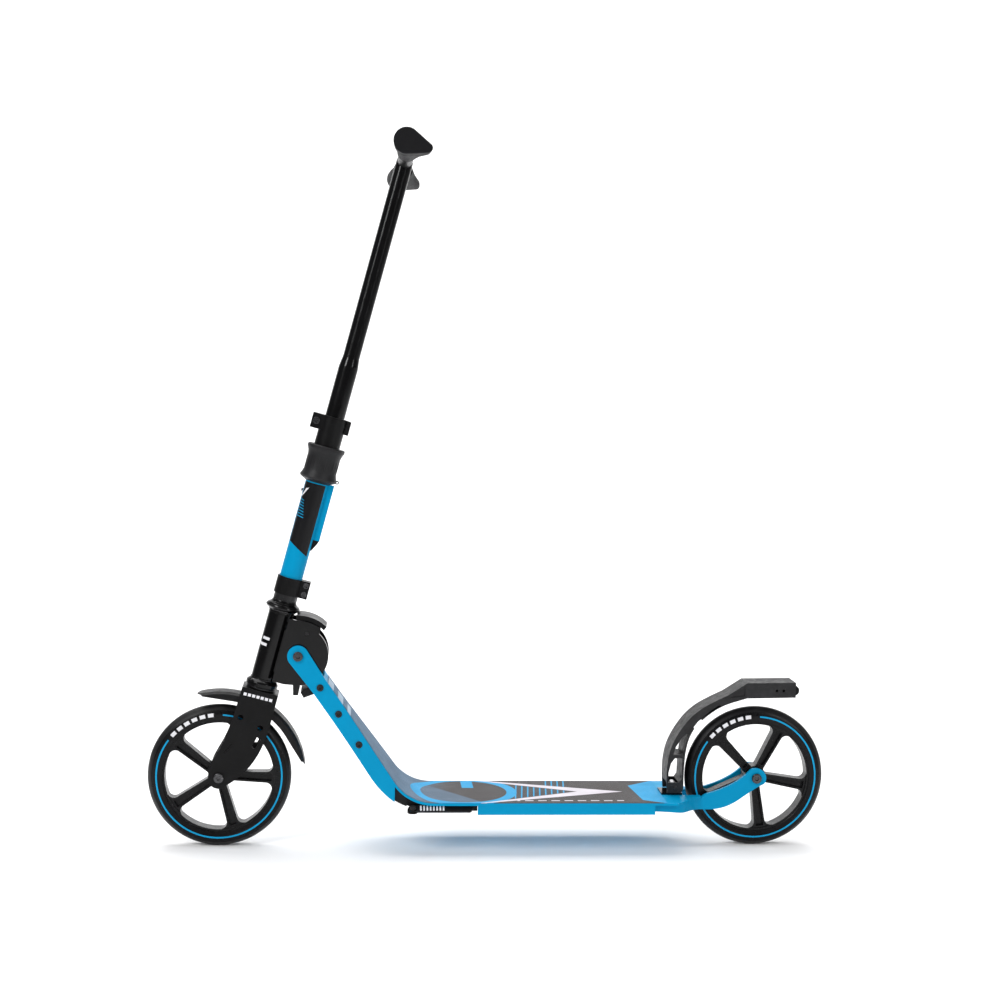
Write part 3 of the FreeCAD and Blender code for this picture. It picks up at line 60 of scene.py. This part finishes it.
# ------------------------------------------------------------------ node materials
class Shade:
    """Small helper that builds a Principled material out of named nodes."""

    def __init__(self, name):
        self.mat = bpy.data.materials.new(name)
        self.mat.use_nodes = True
        self.tree = self.mat.node_tree
        self.tree.nodes.clear()
        self.out = self.tree.nodes.new("ShaderNodeOutputMaterial")
        self.bsdf = self.tree.nodes.new("ShaderNodeBsdfPrincipled")
        self.link(self.bsdf.outputs[0], self.out.inputs[0])
        self.coord = self.tree.nodes.new("ShaderNodeTexCoord").outputs["Object"]

    def link(self, a, b):
        self.tree.links.new(a, b)

    def node(self, kind, **values):
        n = self.tree.nodes.new(kind)
        for key, value in values.items():
            setattr(n, key, value)
        return n

    def set(self, socket, value):
        if isinstance(value, bpy.types.NodeSocket):
            self.link(value, self.bsdf.inputs[socket])
        else:
            self.bsdf.inputs[socket].default_value = value

    def mapped(self, scale, rotation=(0, 0, 0), offset=(0, 0, 0)):
        n = self.node("ShaderNodeMapping")
        n.inputs["Scale"].default_value = scale
        n.inputs["Rotation"].default_value = rotation
        n.inputs["Location"].default_value = offset
        self.link(self.coord, n.inputs["Vector"])
        return n.outputs[0]

    def noise(self, scale, detail=3.0, rough=0.55, vector=None, distortion=0.0):
        n = self.node("ShaderNodeTexNoise")
        n.inputs["Scale"].default_value = scale
        n.inputs["Detail"].default_value = detail
        n.inputs["Roughness"].default_value = rough
        n.inputs["Distortion"].default_value = distortion
        self.link(vector or self.coord, n.inputs["Vector"])
        return n.outputs["Fac"]

    def cells(self, scale):
        n = self.node("ShaderNodeTexVoronoi", feature="F1")
        n.inputs["Scale"].default_value = scale
        self.link(self.coord, n.inputs["Vector"])
        return n.outputs["Distance"]

    def math(self, op, a, b=None, c=None, clamp=False):
        n = self.node("ShaderNodeMath", operation=op, use_clamp=clamp)
        for socket, value in zip(n.inputs, (a, b, c)):
            if value is None:
                continue
            if isinstance(value, (int, float)):
                socket.default_value = value
            else:
                self.link(value, socket)
        return n.outputs[0]

    def span(self, value, a, b, lo=0.0, hi=1.0, smooth=True):
        n = self.node("ShaderNodeMapRange", interpolation_type="SMOOTHSTEP" if smooth else "LINEAR")
        self.link(value, n.inputs["Value"])
        for name, v in (("From Min", a), ("From Max", b), ("To Min", lo), ("To Max", hi)):
            n.inputs[name].default_value = v
        return n.outputs[0]

    def mix(self, factor, a, b):
        n = self.node("ShaderNodeMix", data_type="RGBA")
        if isinstance(factor, (int, float)):
            n.inputs[0].default_value = factor
        else:
            self.link(factor, n.inputs[0])
        for socket, value in ((n.inputs[6], a), (n.inputs[7], b)):
            if isinstance(value, (tuple, list)):
                socket.default_value = (*value[:3], 1.0)
            else:
                self.link(value, socket)
        return n.outputs[2]

    def bump(self, height, strength, distance=0.001, after=None):
        n = self.node("ShaderNodeBump")
        n.inputs["Strength"].default_value = strength
        n.inputs["Distance"].default_value = distance
        self.link(height, n.inputs["Height"])
        if after is not None:
            self.link(after, n.inputs["Normal"])
        return n.outputs[0]

    def axes(self):
        n = self.node("ShaderNodeSeparateXYZ")
        self.link(self.coord, n.inputs[0])
        return n.outputs[0], n.outputs[1], n.outputs[2]


def srgb(r, g, b):
    """Linear colour from 0-255 display values."""
    out = []
    for v in (r, g, b):
        v = v / 255
        out.append(v / 12.92 if v <= 0.04045 else ((v + 0.055) / 1.055) ** 2.4)
    return tuple(out)


def scaled(c, k):
    return tuple(min(1.0, v * k) for v in c)


def surface(name, color, rough, spread=0.08, metal=0.0, coat=0.0, grain=900.0, grain_height=0.12,
            mottle=30.0, mottle_amount=0.10, scratches=0.0, scratch_colour=None, dust=0.0, ior=1.5):
    """General painted, moulded or turned finish: mottled colour, uneven gloss, fine grain, hairline wear."""
    s = Shade(name)
    broad = s.noise(mottle, 4.0, 0.6)
    tone = s.mix(s.span(broad, 0.3, 0.7), scaled(color, 1 - mottle_amount), scaled(color, 1 + mottle_amount))
    smear = s.noise(mottle * 2.7, 5.0, 0.65, distortion=0.6)
    gloss = s.span(smear, 0.25, 0.75, max(0.02, rough - spread), rough + spread)
    fine = s.noise(grain, 2.0, 0.5)
    normal = s.bump(fine, grain_height, 0.0006)
    if scratches:
        lines = s.noise(55.0, 2.0, 0.5, vector=s.mapped((1.0, 9.0, 26.0), (0.5, 0.3, 0.9)))
        mask = s.span(lines, 0.66, 0.70, 0.0, scratches)
        gloss = s.math("ADD", gloss, s.math("MULTIPLY", mask, 0.25))
        if scratch_colour:
            tone = s.mix(mask, tone, scratch_colour)
    if dust:
        geometry = s.node("ShaderNodeNewGeometry")
        parts = s.node("ShaderNodeSeparateXYZ")
        s.link(geometry.outputs["Normal"], parts.inputs[0])
        up = s.span(parts.outputs[2], 0.3, 1.0)
        cover = s.math("MULTIPLY", up, s.span(s.noise(140.0, 5.0, 0.7), 0.45, 0.75, 0.0, dust))
        tone = s.mix(cover, tone, (0.30, 0.29, 0.27))
        gloss = s.math("ADD", gloss, s.math("MULTIPLY", cover, 0.4))
    s.set("Base Color", tone)
    s.set("Roughness", gloss)
    s.set("Normal", normal)
    s.set("Metallic", metal)
    s.set("IOR", ior)
    s.set("Coat Weight", coat)
    s.set("Coat Roughness", 0.08)
    return s.mat


BLUE = srgb(0, 140, 186)
MATS = {
    "blue_paint": surface("blue_paint", BLUE, 0.38, 0.06, grain=1400, grain_height=0.05,
                          mottle=14, mottle_amount=0.035, scratches=0.25, scratch_colour=scaled(BLUE, 0.8),
                          dust=0.02, ior=1.16),
    "black_paint": surface("black_paint", (0.0025, 0.0025, 0.0028), 0.17, 0.05, coat=0.12, grain=1200,
                           grain_height=0.03, mottle=18, mottle_amount=0.2, scratches=0.10,
                           scratch_colour=srgb(34, 34, 36), dust=0.01, ior=1.28),
    "satin_black": surface("satin_black", (0.004, 0.004, 0.0043), 0.38, 0.07, grain=1500,
                           grain_height=0.08, mottle=18, mottle_amount=0.2, scratches=0.25,
                           scratch_colour=srgb(40, 40, 42), dust=0.03, ior=1.24),
    "black_plastic": surface("black_plastic", (0.006, 0.006, 0.0065), 0.44, 0.09, grain=1900,
                             grain_height=0.22, mottle=26, mottle_amount=0.2, scratches=0.25,
                             scratch_colour=srgb(42, 42, 44), dust=0.04, ior=1.26),
    "grey_plastic": surface("grey_plastic", (0.013, 0.013, 0.014), 0.50, 0.12, grain=620,
                            grain_height=0.42, mottle=42, mottle_amount=0.3, scratches=0.4,
                            scratch_colour=srgb(62, 62, 66), dust=0.06, ior=1.36),
    "rubber": surface("rubber", (0.008, 0.008, 0.009), 0.62, 0.08, grain=1500, grain_height=0.35,
                      mottle=22, mottle_amount=0.15, dust=0.05, ior=1.2),
    "tyre": surface("tyre", (0.010, 0.010, 0.011), 0.46, 0.08, grain=1600, grain_height=0.14, mottle=16,
                    mottle_amount=0.14, scratches=0.2, scratch_colour=srgb(44, 44, 46), dust=0.05, ior=1.32),
    "sidewall": surface("sidewall", (0.004, 0.004, 0.0045), 0.30, 0.06, grain=1700, grain_height=0.08,
                        mottle=20, mottle_amount=0.15, scratches=0.2, scratch_colour=srgb(40, 40, 42),
                        dust=0.03, ior=1.25),
    "rim": surface("rim", (0.005, 0.005, 0.0055), 0.28, 0.07, grain=1700, grain_height=0.12, mottle=20,
                   mottle_amount=0.14, scratches=0.25, scratch_colour=srgb(44, 44, 46), dust=0.03, ior=1.27),
    "steel": surface("steel", (0.52, 0.52, 0.53), 0.28, 0.08, metal=1.0, grain=1500, grain_height=0.1,
                     mottle=60, mottle_amount=0.10, scratches=0.5, scratch_colour=(0.3, 0.3, 0.3)),
    "bolt_steel": surface("bolt_steel", (0.075, 0.075, 0.078), 0.24, 0.08, metal=1.0, grain=1500,
                          grain_height=0.12, mottle=80, mottle_amount=0.2, scratches=0.5,
                          scratch_colour=(0.3, 0.3, 0.3)),
    "black_steel": surface("black_steel", (0.012, 0.012, 0.013), 0.34, 0.08, metal=0.4, grain=1500,
                           grain_height=0.12, mottle=60, mottle_amount=0.2, scratches=0.4,
                           scratch_colour=srgb(70, 70, 72)),
    "aluminium": surface("aluminium", (0.62, 0.62, 0.64), 0.34, 0.08, metal=1.0, grain=1400,
                         grain_height=0.12, mottle=50, mottle_amount=0.08, scratches=0.4,
                         scratch_colour=(0.4, 0.4, 0.4)),
    "blue_print": surface("blue_print", srgb(10, 150, 200), 0.42, 0.08, grain=1400, grain_height=0.1,
                          mottle=30, mottle_amount=0.06, scratches=0.3, scratch_colour=srgb(10, 90, 125),
                          ior=1.25),
    "white_print": surface("white_print", srgb(222, 222, 226), 0.45, 0.08, grain=1400, grain_height=0.1,
                           mottle=30, mottle_amount=0.05, scratches=0.3, scratch_colour=srgb(150, 150, 152)),
    "black_print": surface("black_print", (0.006, 0.006, 0.007), 0.36, 0.06, coat=0.05, grain=1500,
                           grain_height=0.06, mottle=20, mottle_amount=0.15, scratches=0.2,
                           scratch_colour=srgb(42, 42, 44), ior=1.25),
}


def tape_material():
    """Gritty deck tape with its printed ring, arrow and bars, all drawn from distances on the deck."""
    s = Shade("grip_tape")
    x, y, z = s.axes()
    dark = srgb(58, 55, 56)
    tint = srgb(88, 118, 144)
    blue = srgb(22, 148, 200)
    pale = srgb(205, 200, 208)

    def inside(value, lo, hi, soft=0.0004):
        a = s.span(value, lo - soft, lo + soft)
        b = s.span(value, hi - soft, hi + soft, 1.0, 0.0)
        return s.math("MULTIPLY", a, b)

    dx = s.math("SUBTRACT", x, -0.038)
    radius = s.math("SQRT", s.math("ADD", s.math("MULTIPLY", dx, dx), s.math("MULTIPLY", y, y)))
    side = s.math("ABSOLUTE", y)
    # blue-grey fade over the bend and in the front half of the disc
    fade = s.span(x, -0.13, -0.055, 0.9, 0.0)
    slope = s.math("ADD", x, s.math("MULTIPLY", y, 0.75))
    half_disc = s.math("MULTIPLY", s.span(radius, 0.0623, 0.0629, 1.0, 0.0),
                       s.span(slope, -0.062, -0.060, 0.55, 0.0))
    tone = s.mix(s.math("MAXIMUM", fade, half_disc), dark, tint)
    low = s.span(z, 0.100, 0.101, 1.0, 0.0)
    ring = s.math("MULTIPLY", inside(radius, 0.0628, 0.0774), low)
    square = s.math("MULTIPLY", inside(x, -0.039, -0.022), inside(y, 0.022, 0.062))
    tone = s.mix(s.math("MAXIMUM", ring, square), tone, blue)
    # arrow that points to the rear, thin at its outer ends
    along = s.span(side, 0.068, 0.0, 0.0, 1.0, smooth=False)
    centre = s.math("ADD", -0.016, s.math("MULTIPLY", along, 0.178))
    half = s.math("ADD", 0.0035, s.math("MULTIPLY", along, 0.030))
    gap = s.math("ABSOLUTE", s.math("SUBTRACT", x, centre))
    arrow = s.span(s.math("SUBTRACT", gap, half), -0.0006, 0.0006, 1.0, 0.0)
    # thin bars between the arms of the arrow
    lean = s.math("ADD", x, s.math("MULTIPLY", y, -0.10))
    phase = s.math("FRACT", s.math("DIVIDE", s.math("ADD", lean, 0.2), 0.0088))
    bars = s.math("MULTIPLY", s.span(phase, 0.20, 0.25, 1.0, 0.0), inside(lean, 0.0345, 0.112))
    between = s.span(s.math("SUBTRACT", x, s.math("SUBTRACT", centre, half)), -0.004, -0.0035, 1.0, 0.0)
    beyond = s.math("MULTIPLY", s.span(y, 0.022, 0.024), inside(lean, 0.078, 0.112))
    bars = s.math("MULTIPLY", bars, s.math("MAXIMUM", between, beyond))
    tone = s.mix(bars, tone, blue)
    tone = s.mix(arrow, tone, pale)
    # plain dashes along the near edge and a blue end panel
    dash_phase = s.math("FRACT", s.math("DIVIDE", s.math("ADD", x, 0.2), 0.019))
    dashes = s.math("MULTIPLY", s.span(dash_phase, 0.62, 0.66, 1.0, 0.0),
                    s.math("MULTIPLY", inside(y, -0.0555, -0.0515), inside(x, 0.036, 0.19)))
    tone = s.mix(dashes, tone, pale)
    past_corner = s.math("MAXIMUM", s.math("SUBTRACT", y, 0.036), 0.0)
    far_cut = s.math("SUBTRACT", x, s.math("MULTIPLY", past_corner, 1.4))
    near_cut = s.math("MULTIPLY", s.math("MAXIMUM", s.math("SUBTRACT", -0.050, y), 0.0), 1.6)
    end = s.math("SUBTRACT", s.math("SUBTRACT", far_cut, near_cut), s.math("MULTIPLY", y, -0.10))
    tone = s.mix(s.span(end, 0.2125, 0.2133), tone, blue)
    # light bars across the top of the neck
    stripe = s.math("MULTIPLY", s.span(s.math("FRACT", s.math("MULTIPLY", z, 52.0)), 0.52, 0.56, 1.0, 0.0),
                    inside(z, 0.196, 0.252))
    stripe = s.math("MULTIPLY", stripe, s.span(y, 0.016, 0.017, 1.0, 0.25))
    tone = s.mix(s.math("MULTIPLY", stripe, 0.75), tone, srgb(186, 204, 220))
    grit = s.cells(1500.0)
    worn = s.noise(26.0, 5.0, 0.6)
    sparkle = s.span(s.noise(2600.0, 1.0, 0.5), 0.66, 0.72, 0.0, 0.22)
    tone = s.mix(s.span(worn, 0.35, 0.75, 0.0, 0.14), tone, srgb(120, 116, 112))
    tone = s.mix(sparkle, tone, srgb(190, 190, 196))
    s.set("Base Color", tone)
    s.set("Roughness", s.span(worn, 0.3, 0.7, 0.66, 0.88))
    coarse = s.bump(grit, 0.55, 0.0007)
    s.set("Normal", s.bump(s.noise(420.0, 4.0, 0.6), 0.25, 0.0008, coarse))
    return s.mat


MATS["grip_tape"] = tape_material()


# ------------------------------------------------------------------ meshes
def shade_by_angle(mesh, degrees=32.0):
    bm = bmesh.new()
    bm.from_mesh(mesh)
    limit = math.radians(degrees)
    for f in bm.faces:
        f.smooth = True
    for e in bm.edges:
        e.smooth = len(e.link_faces) == 2 and e.calc_face_angle(math.pi) < limit
    bm.to_mesh(mesh)
    bm.free()


def add_mesh(name, verts, faces, material, body, matrix=None, smooth=32.0):
    mesh = bpy.data.meshes.new(name)
    mesh.from_pydata([Vector(v) for v in verts], [], faces)
    if matrix is not None:
        mesh.transform(matrix)
    mesh.validate()
    obj = bpy.data.objects.new(name, mesh)
    bpy.context.scene.collection.objects.link(obj)
    mesh.materials.append(MATS[material])
    shade_by_angle(mesh, smooth)
    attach(obj, body)
    return obj


def refined(node, bevel=0.0005, segments=2, material=None, angle=28.0):
    """Cleaned copy of a CAD node with small rounded edges."""
    src = nodes[node]
    mesh = src.data.copy()
    mesh.name = node + "_detail"
    bm = bmesh.new()
    bm.from_mesh(mesh)
    bmesh.ops.remove_doubles(bm, verts=bm.verts, dist=1e-6)
    bmesh.ops.dissolve_degenerate(bm, dist=1e-6, edges=bm.edges)
    bmesh.ops.dissolve_limit(bm, angle_limit=math.radians(0.6), verts=bm.verts, edges=bm.edges)
    for f in bm.faces:
        f.smooth = True
    limit = math.radians(angle)
    for e in bm.edges:
        e.smooth = len(e.link_faces) == 2 and e.calc_face_angle(math.pi) < limit
    bm.to_mesh(mesh)
    bm.free()
    obj = bpy.data.objects.new(node + "_detail", mesh)
    bpy.context.scene.collection.objects.link(obj)
    slot = slot_of[node]
    mesh.materials.clear()
    mesh.materials.append(MATS[material or slot])
    if bevel:
        mod = obj.modifiers.new("soft edges", "BEVEL")
        mod.width = bevel
        mod.segments = segments
        mod.limit_method = "ANGLE"
        mod.angle_limit = math.radians(angle)
        mod.harden_normals = True
        mod.use_clamp_overlap = True
    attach(obj, body_of[node])
    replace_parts(obj, node)
    return obj


slot_of = {p["node"]: p["material_slot"] for p in frame["record"]["subparts"]}
body_of = {n: b for b, members in frame["record"]["behaviour"]["bodies"].items() for n in members}

for name, obj in nodes.items():
    obj.data.materials.clear()
    obj.data.materials.append(MATS[slot_of[name]])


# ------------------------------------------------------------------ stage, light and camera
def make_stage():
    """Pale sheet that curves up behind the object, and four area lights."""
    paper = surface("floor_paper", (0.90, 0.90, 0.905), 0.85, 0.05, grain=300, grain_height=0.02,
                    mottle=3, mottle_amount=0.008, ior=1.2)
    profile = [(-7.0, 0.0), (2.6, 0.0)]
    for k in range(1, 25):
        a = math.radians(90 * k / 24)
        profile.append((2.6 + 3.0 * math.sin(a), 3.0 - 3.0 * math.cos(a)))
    profile.append((5.6, 9.0))
    verts = [(x, y, z) for y, z in profile for x in (-10, 10)]
    faces = [(2 * k, 2 * k + 1, 2 * k + 3, 2 * k + 2) for k in range(len(profile) - 1)]
    mesh = bpy.data.meshes.new("floor")
    mesh.from_pydata(verts, [], faces)
    for f in mesh.polygons:
        f.use_smooth = True
    floor = bpy.data.objects.new("floor", mesh)
    bpy.context.scene.collection.objects.link(floor)
    mesh.materials.append(paper)
    world = bpy.data.worlds.new("studio")
    bpy.context.scene.world = world
    world.use_nodes = True
    world.node_tree.nodes["Background"].inputs[0].default_value = (1, 1, 1, 1)
    world.node_tree.nodes["Background"].inputs[1].default_value = 0.15

    def area(name, place, target, size, size_y, power):
        data = bpy.data.lights.new(name, "AREA")
        data.shape = "RECTANGLE"
        data.size = size
        data.size_y = size_y
        data.energy = power
        light = bpy.data.objects.new(name, data)
        bpy.context.scene.collection.objects.link(light)
        light.location = place
        light.rotation_mode = "QUATERNION"
        light.rotation_quaternion = (Vector(target) - Vector(place)).to_track_quat("-Z", "Y")

    area("key", (-2.4, -2.6, 2.9), (-0.1, 0, 0.4), 1.1, 1.9, 105)
    area("fill", (2.6, -2.8, 1.9), (0, 0, 0.4), 0.7, 2.2, 44)
    area("top", (0.0, 0.5, 3.6), (0, 0.3, 0.3), 3.6, 2.6, 120)
    area("backdrop", (0.0, 2.2, 4.2), (0, 5.0, 1.6), 6.0, 1.6, 250)


def make_camera():
    focal = 1734.24
    yaw, pitch, roll = 0.0817, -0.0719, 0.0199
    data = bpy.data.cameras.new("camera")
    data.sensor_fit = "HORIZONTAL"
    data.sensor_width = 36.0
    data.lens = focal * 36.0 / 991
    data.clip_start = 0.05
    data.clip_end = 60
    cam = bpy.data.objects.new("camera", data)
    bpy.context.scene.collection.objects.link(cam)
    forward = Vector((math.sin(yaw) * math.cos(pitch), math.cos(yaw) * math.cos(pitch), math.sin(pitch)))
    right = Vector((math.cos(yaw), -math.sin(yaw), 0))
    up = right.cross(forward)
    right2 = right * math.cos(roll) + up * math.sin(roll)
    up2 = -right * math.sin(roll) + up * math.cos(roll)
    turn = Matrix((right2, up2, -forward)).transposed()
    cam.matrix_world = Matrix.Translation((-0.2030, -2.4828, 0.6910)) @ turn.to_4x4()
    bpy.context.scene.camera = cam
    bpy.context.scene.view_settings.view_transform = "Standard"


make_stage()
make_camera()

# ------------------------------------------------------------------ detailed pieces
def turned_strip(name, profile, start, sweep, centre_x, body, material, closed=True, steps=None):
    """Strip round a wheel axis: profile is (radius, y) in mm, angles run up from +X seen from -Y."""
    count = steps or max(2, int(abs(sweep) / 2))
    full = abs(sweep) >= 359.9
    verts, faces = [], []
    rows = count if full else count + 1
    for k in range(rows):
        a = math.radians(start + sweep * k / count)
        for radius, y in profile:
            out = radius / 1000
            verts.append((centre_x + out * math.cos(a), y / 1000, AXLE_Z + out * math.sin(a)))
    n = len(profile)
    links = n if closed else n - 1
    for k in range(count):
        here, there = k * n, ((k + 1) % rows) * n
        for j in range(links):
            j2 = (j + 1) % n
            faces.append((here + j, here + j2, there + j2, there + j))
    if closed and not full:
        faces.append(tuple(range(n)))
        faces.append(tuple(reversed(range((rows - 1) * n, rows * n))))
    return add_mesh(name, verts, faces, material, body)


def mirror_y(profile):
    return [(r, -y) for r, y in profile]


def crown_point(degrees, lift=0.0):
    """Point on the tyre's round outer part, as (radius, y), from the sidewall (0) to the top (90)."""
    a = math.radians(degrees)
    size = 14.0 + lift
    return (88.5 + size * math.sin(a), size * math.cos(a))


def make_tyre(end, centre_x):
    body, node = end + "_wheel", end + "_tyre"
    band = 33.0
    right = [crown_point(a) for a in (band, 40, 48, 57, 66, 75, 83, 88.5)]
    right += [(102.25, 0.25)]
    left = [(r, -y) for r, y in reversed(right)]
    tread = right + left + [(94.0, -9.0), (94.0, 9.0)]
    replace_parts(turned_strip(end + "_tread", tread, 0, 360, centre_x, body, "tyre", steps=200), node)
    wall = [(84.05, 11.05), (80.6, 11.05), (80.6, 12.2), (81.2, 12.75), (84.0, 13.2), (86.4, 13.6)]
    wall += [(86.7, 13.45), (87.0, 13.7)] + [crown_point(a) for a in (1, 9, 17, 25, 31)]
    wall += [crown_point(31.6, -0.35), crown_point(33.4, -0.35), (94.0, 9.0), (84.05, 9.0)]
    for side, profile in (("right", wall), ("left", mirror_y(wall))):
        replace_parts(turned_strip(end + "_sidewall_" + side, profile, 0, 360, centre_x, body, "sidewall",
                                 steps=200), node)
    ring = [(88.0, 13.5), (88.0, 14.02), (88.5, 14.13), (89.6, 14.08), (90.3, 13.98), (90.3, 13.5)]
    block = [(86.4, 13.3), (86.4, 13.75), (88.0, 14.08), (90.0, 14.03), (91.8, 13.76), (91.8, 13.2)]
    for side, flip in (("left", mirror_y), ("right", list)):
        turned_strip(end + "_ring_" + side, flip(ring), 144, 303, centre_x, body, "blue_print",
                     steps=150)
        for k in range(6):
            turned_strip("%s_mark_%s_%d" % (end, side, k), flip(block), 95.5 + 7.7 * k, 5.2, centre_x, body,
                         "white_print", steps=6)


def make_dust_shields(end, centre_x):
    """Thin pressed covers over the wheel bearings."""
    for side in (-1, 1):
        profile = [(6.8, side * 12.5), (6.8, side * 12.62), (7.4, side * 12.72), (10.2, side * 12.72),
                   (10.7, side * 12.55), (10.7, side * 12.5)]
        turned_strip("%s_shield_%s" % (end, "right" if side > 0 else "left"), profile, 0, 360, centre_x,
                     end + "_wheel", "satin_black", steps=64)


def wrap_patch(name, corners, radius, material, body, thickness=0.12, steps=(14, 2)):
    """Thin label on the near face of a column tube: four (r, s) corners in mm, wrapped round the axis."""
    p00, p10, p11, p01 = corners
    nu, nv = steps
    verts, faces = [], []
    for layer in (0.0, thickness):
        for j in range(nv + 1):
            v = j / nv
            for i in range(nu + 1):
                u = i / nu
                lo = [p00[k] + (p10[k] - p00[k]) * u for k in (0, 1)]
                hi = [p01[k] + (p11[k] - p01[k]) * u for k in (0, 1)]
                angle = math.acos(max(-1, min(1, (lo[0] + (hi[0] - lo[0]) * v) / radius)))
                r = (radius + layer) * math.cos(angle)
                y = -(radius + layer) * math.sin(angle)
                verts.append(col(r, lo[1] + (hi[1] - lo[1]) * v, y))
    size = (nu + 1) * (nv + 1)
    for j in range(nv):
        for i in range(nu):
            a = j * (nu + 1) + i
            faces.append((a, a + nu + 1, a + nu + 2, a + 1))
            faces.append((size + a, size + a + 1, size + a + nu + 2, size + a + nu + 1))
    ring = [i for i in range(nu + 1)] + [(j + 1) * (nu + 1) - 1 for j in range(1, nv + 1)]
    ring += [nv * (nu + 1) + i for i in range(nu - 1, -1, -1)] + [j * (nu + 1) for j in range(nv - 1, 0, -1)]
    for a, b in zip(ring, ring[1:] + ring[:1]):
        faces.append((a, b, size + b, size + a))
    return add_mesh(name, verts, faces, material, body, smooth=50)


def make_stem_label():
    tube = 16.52
    wrap_patch("stem_label", [(-16.5, 348), (13.4, 331.0), (13.4, 435.3), (-16.5, 435.3)], tube,
               "black_print", "column", steps=(26, 6))
    top = tube + 0.12
    wrap_patch("stem_slash", [(-15.9, 413.5), (-15.4, 413.5), (-8.6, 427.5), (-12.4, 426.0)], top,
               "white_print", "column", thickness=0.08, steps=(3, 6))
    for k in range(7):
        s0 = 409.0 - 4.0 * k
        wrap_patch("stem_bar_%d" % k, [(-16.3, s0), (-11.0 + 0.9 * k, s0 - 1.6), (-11.2 + 0.9 * k, s0 - 0.5),
                                       (-16.3, s0 + 1.1)], top, "blue_print", "column",
                   thickness=0.08, steps=(6, 1))
    for k in range(2):
        wrap_patch("head_mark_%d" % k, [(-17.2 + 2 * k, 193 + 9 * k), (-8.0 + 2 * k, 193 + 9 * k),
                                        (-8.0 + 2 * k, 197 + 9 * k), (-17.2 + 2 * k, 197 + 9 * k)], 18.02,
                   "white_print", "head", thickness=0.1, steps=(6, 1))


def plate_mark(name, corners, y, material, body, thickness=0.12, place=col):
    """Thin flat mark on a plate that faces -Y, from (r, s) corners in mm."""
    n = len(corners)
    verts = [place(r, s, y) for r, s in corners] + [place(r, s, y - thickness) for r, s in corners]
    faces = [tuple(range(n)), tuple(reversed(range(n, 2 * n)))]
    faces += [(k, (k + 1) % n, n + (k + 1) % n, n + k) for k in range(n)]
    return add_mesh(name, verts, faces, material, body)


def make_fork_marks():
    for k in range(7):
        r = -21.0 + 6.2 * k
        plate_mark("fork_mark_%d" % k, [(r, 118.4), (r + 4.4, 118.4), (r + 4.4, 122.6), (r, 122.6)], -23.0,
                   "white_print", "column")


def make_stand_marks():
    joints = frame["record"]["behaviour"]["joints"]
    hinge = next(j["pos_m"] for j in joints if j["name"] == "kickstand_swing")
    tilt = Matrix.Translation(hinge) @ Matrix.Rotation(math.radians(-40), 4, "X")
    for k in range(8):
        x0 = (10 + 4.6 * k) / 1000
        x1, y0, y1, z = x0 + 0.0024, -0.0033, -0.0030, 0.0038
        verts = [(x, y, zz) for y in (y0, y1) for x, zz in ((x0, -z), (x1, -z), (x1, z), (x0, z))]
        faces = [(3, 2, 1, 0), (4, 5, 6, 7), (0, 1, 5, 4), (1, 2, 6, 5), (2, 3, 7, 6), (3, 0, 4, 7)]
        add_mesh("stand_mark_%d" % k, verts, faces, "white_print", "kickstand", matrix=tilt)


OVERRIDE = {
    "fork": "satin_black", "lower_clamp": "satin_black", "quick_release_clamp": "satin_black",
    "fold_housing": "black_paint", "front_axle_bolts": "bolt_steel", "rear_axle_bolts": "bolt_steel",
    "quick_release_nut": "bolt_steel", "pivot_bolt_caps": "bolt_steel", "lower_clamp_bolts": "bolt_steel",
    "strap_eye": "black_steel", "neck_screws": "black_steel", "kickstand_leg": "satin_black",
    "fold_lever": "satin_black", "fold_lever_pin": "black_steel", "crossbar": "satin_black",
    "brake_pin": "black_steel", "rubber_sleeve": "tyre",
}
WIDE = {"front_rim": 0.0009, "rear_rim": 0.0009, "fork": 0.0008, "brake_fender": 0.0009,
        "fold_housing": 0.0008, "deck": 0.0008, "left_grip": 0.0015, "right_grip": 0.0015}
LATHED = ("front_tyre", "rear_tyre")
for n in nodes:
    if n not in LATHED:
        refined(n, bevel=WIDE.get(n, 0.0005), material=OVERRIDE.get(n))
for end, centre_x in (("front", FRONT_X), ("rear", REAR_X)):
    make_tyre(end, centre_x)
    make_dust_shields(end, centre_x)
make_stem_label()
make_fork_marks()
make_stand_marks()
